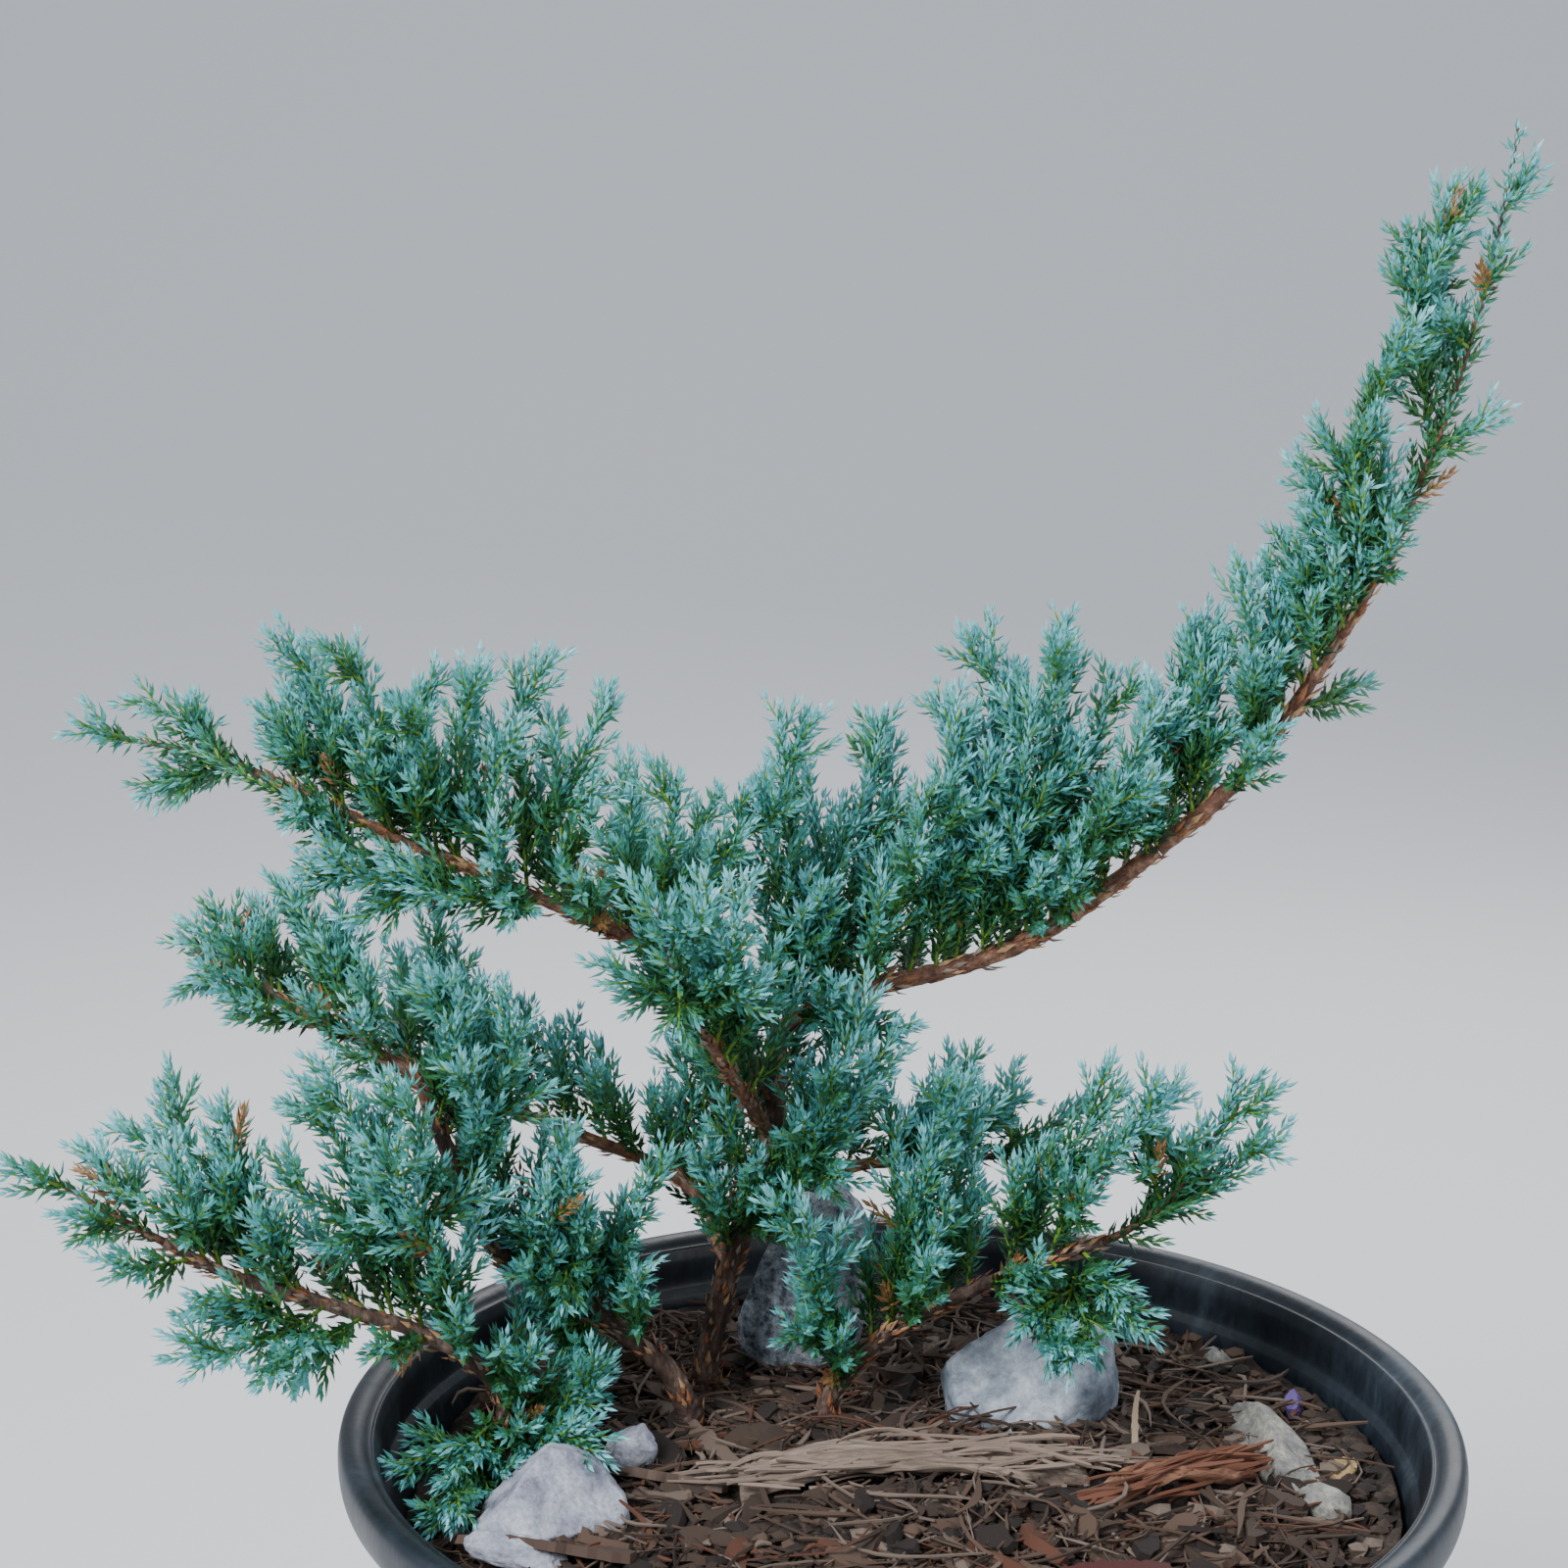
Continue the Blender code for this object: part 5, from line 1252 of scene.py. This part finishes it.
# Old scale leaves: dead, pointed, tan or rust, lying forward along every stem and bough where the
# green has gone. The grey ones among them are flakes of peeling bark.
SCALE_COLOURS = (
    ("tan", (0.440, 0.260, 0.130)), ("rust", (0.270, 0.105, 0.045)), ("grey", (0.240, 0.180, 0.140)))
SCALE_ROUGHNESS = 0.8
SCALE_SPACING = 0.0006
SCALE_LENGTHS = (0.0028, 0.0062)
SCALE_LEANS = (0.10, 0.65)
SCALE_PLACES = (0.04, 0.99)
SCALE_DEPTH = 0.9
SCALE_SEED = 900
shake = np.random.default_rng(SCALE_SEED)
scales = []
for limb in LIMBS:
    path, radii = paths[limb.name]
    run = run_of(path)
    count = int(run[-1] / SCALE_SPACING)
    places = np.sort(shake.uniform(*SCALE_PLACES, count)) * run[-1]
    points = at_distances(path, run, places)
    # Three numbers for each scale are passed over, which keeps the draws after them in their order
    shake.normal(size=points.shape)
    radius = np.interp(places, run, radii)[:, None]
    direction = at_distances(np.gradient(path, run, axis=0), run, places)
    direction /= np.linalg.norm(direction, axis=1)[:, None]
    side = np.cross(direction, (0.31, 0.12, 0.94))
    side /= np.linalg.norm(side, axis=1)[:, None]
    turn = shake.uniform(0, FULL_TURN, (count, 1))
    spoke = np.cos(turn) * side + np.sin(turn) * np.cross(direction, side)
    lean = shake.uniform(*SCALE_LEANS, (count, 1))
    ahead = np.cos(lean) * direction + np.sin(lean) * spoke
    inner = np.sin(lean) * direction - np.cos(lean) * spoke
    length = shake.uniform(*SCALE_LENGTHS, (count, 1))
    scales.append((points + spoke * radius * SCALE_DEPTH, ahead, inner, length))
scales = [np.concatenate(column) for column in zip(*scales)]
pick = shake.integers(0, len(SCALE_COLOURS), len(scales[0]))
for index, (name, colour) in enumerate(SCALE_COLOURS):
    mesh = needle_mesh(*(column[pick == index] for column in scales))
    dry = plain("scale_" + name, colour, SCALE_ROUGHNESS)
    add_piece("old_scales_" + name, *mesh, dry, "bark", smooth=False)


# The stage: a plain pale floor that bends up into a wall, soft studio light from three sides, and the
# camera of the photo, which looks down a little from the front.
BEND = np.linspace(0, 0.5 * math.pi, 25)
BEND_RADIUS = 2.0
BEND_START = 1.6
FLOOR_FRONT = -6.0
WALL_HEIGHT = 8.0
HALF_WIDTH = 9.0
sweep = [(FLOOR_FRONT, 0.0)]
sweep += [(BEND_START + BEND_RADIUS * math.sin(a), BEND_RADIUS * (1 - math.cos(a))) for a in BEND]
sweep += [(BEND_START + BEND_RADIUS, WALL_HEIGHT)]
floor_points = [(x, y, z) for y, z in sweep for x in (-HALF_WIDTH, HALF_WIDTH)]
floor_faces = [(2 * i, 2 * i + 1, 2 * i + 3, 2 * i + 2) for i in range(len(sweep) - 1)]
floor_mesh = bpy.data.meshes.new("floor")
floor_mesh.from_pydata(floor_points, [], floor_faces)
floor_mesh.polygons.foreach_set("use_smooth", np.ones(len(floor_faces), bool))
floor_mesh.materials.append(plain("floor_paper", (0.80, 0.81, 0.83), 0.85))
floor = bpy.data.objects.new("floor", floor_mesh)
bpy.context.scene.collection.objects.link(floor)

world = bpy.data.worlds.new("studio")
bpy.context.scene.world = world
world.use_nodes = True
fill(world.node_tree.nodes["Background"], {"Color": (0.80, 0.86, 0.95, 1.0), "Strength": 0.60})
LOOK_AT = Vector((-0.02, 0.0, 0.32))
# Each light's place, width in metres and power in watts
for name, place, size, power in (
        ("key_light", (-0.9, -1.0, 1.5), 0.7, 44.0),
        ("fill_light", (1.2, -0.9, 0.9), 1.2, 9.0),
        ("back_light", (0.4, 1.3, 1.3), 1.0, 14.0)):
    lamp = bpy.data.lights.new(name, "AREA")
    lamp.size = size
    lamp.energy = power
    light = bpy.data.objects.new(name, lamp)
    light.location = place
    light.rotation_euler = (LOOK_AT - Vector(place)).to_track_quat("-Z", "Y").to_euler()
    bpy.context.scene.collection.objects.link(light)

CAMERA_PLACE = Vector((-0.0299, -0.6937, 0.5427))
CAMERA_PITCH = math.radians(11.63)
CAMERA_ROLL = math.radians(0.30)
CAMERA_LENS = 67.5
CAMERA_SENSOR = 36.0
view = bpy.data.cameras.new("camera")
view.lens = CAMERA_LENS
view.sensor_width = CAMERA_SENSOR
camera = bpy.data.objects.new("camera", view)
level_up = Vector((0, math.sin(CAMERA_PITCH), math.cos(CAMERA_PITCH)))
forward = Vector((0, math.cos(CAMERA_PITCH), -math.sin(CAMERA_PITCH)))
right = math.cos(CAMERA_ROLL) * Vector((1, 0, 0)) + math.sin(CAMERA_ROLL) * level_up
up = -math.sin(CAMERA_ROLL) * Vector((1, 0, 0)) + math.cos(CAMERA_ROLL) * level_up
camera.matrix_world = Matrix.Translation(CAMERA_PLACE) @ Matrix((right, up, -forward)).transposed().to_4x4()
bpy.context.scene.collection.objects.link(camera)
bpy.context.scene.camera = camera
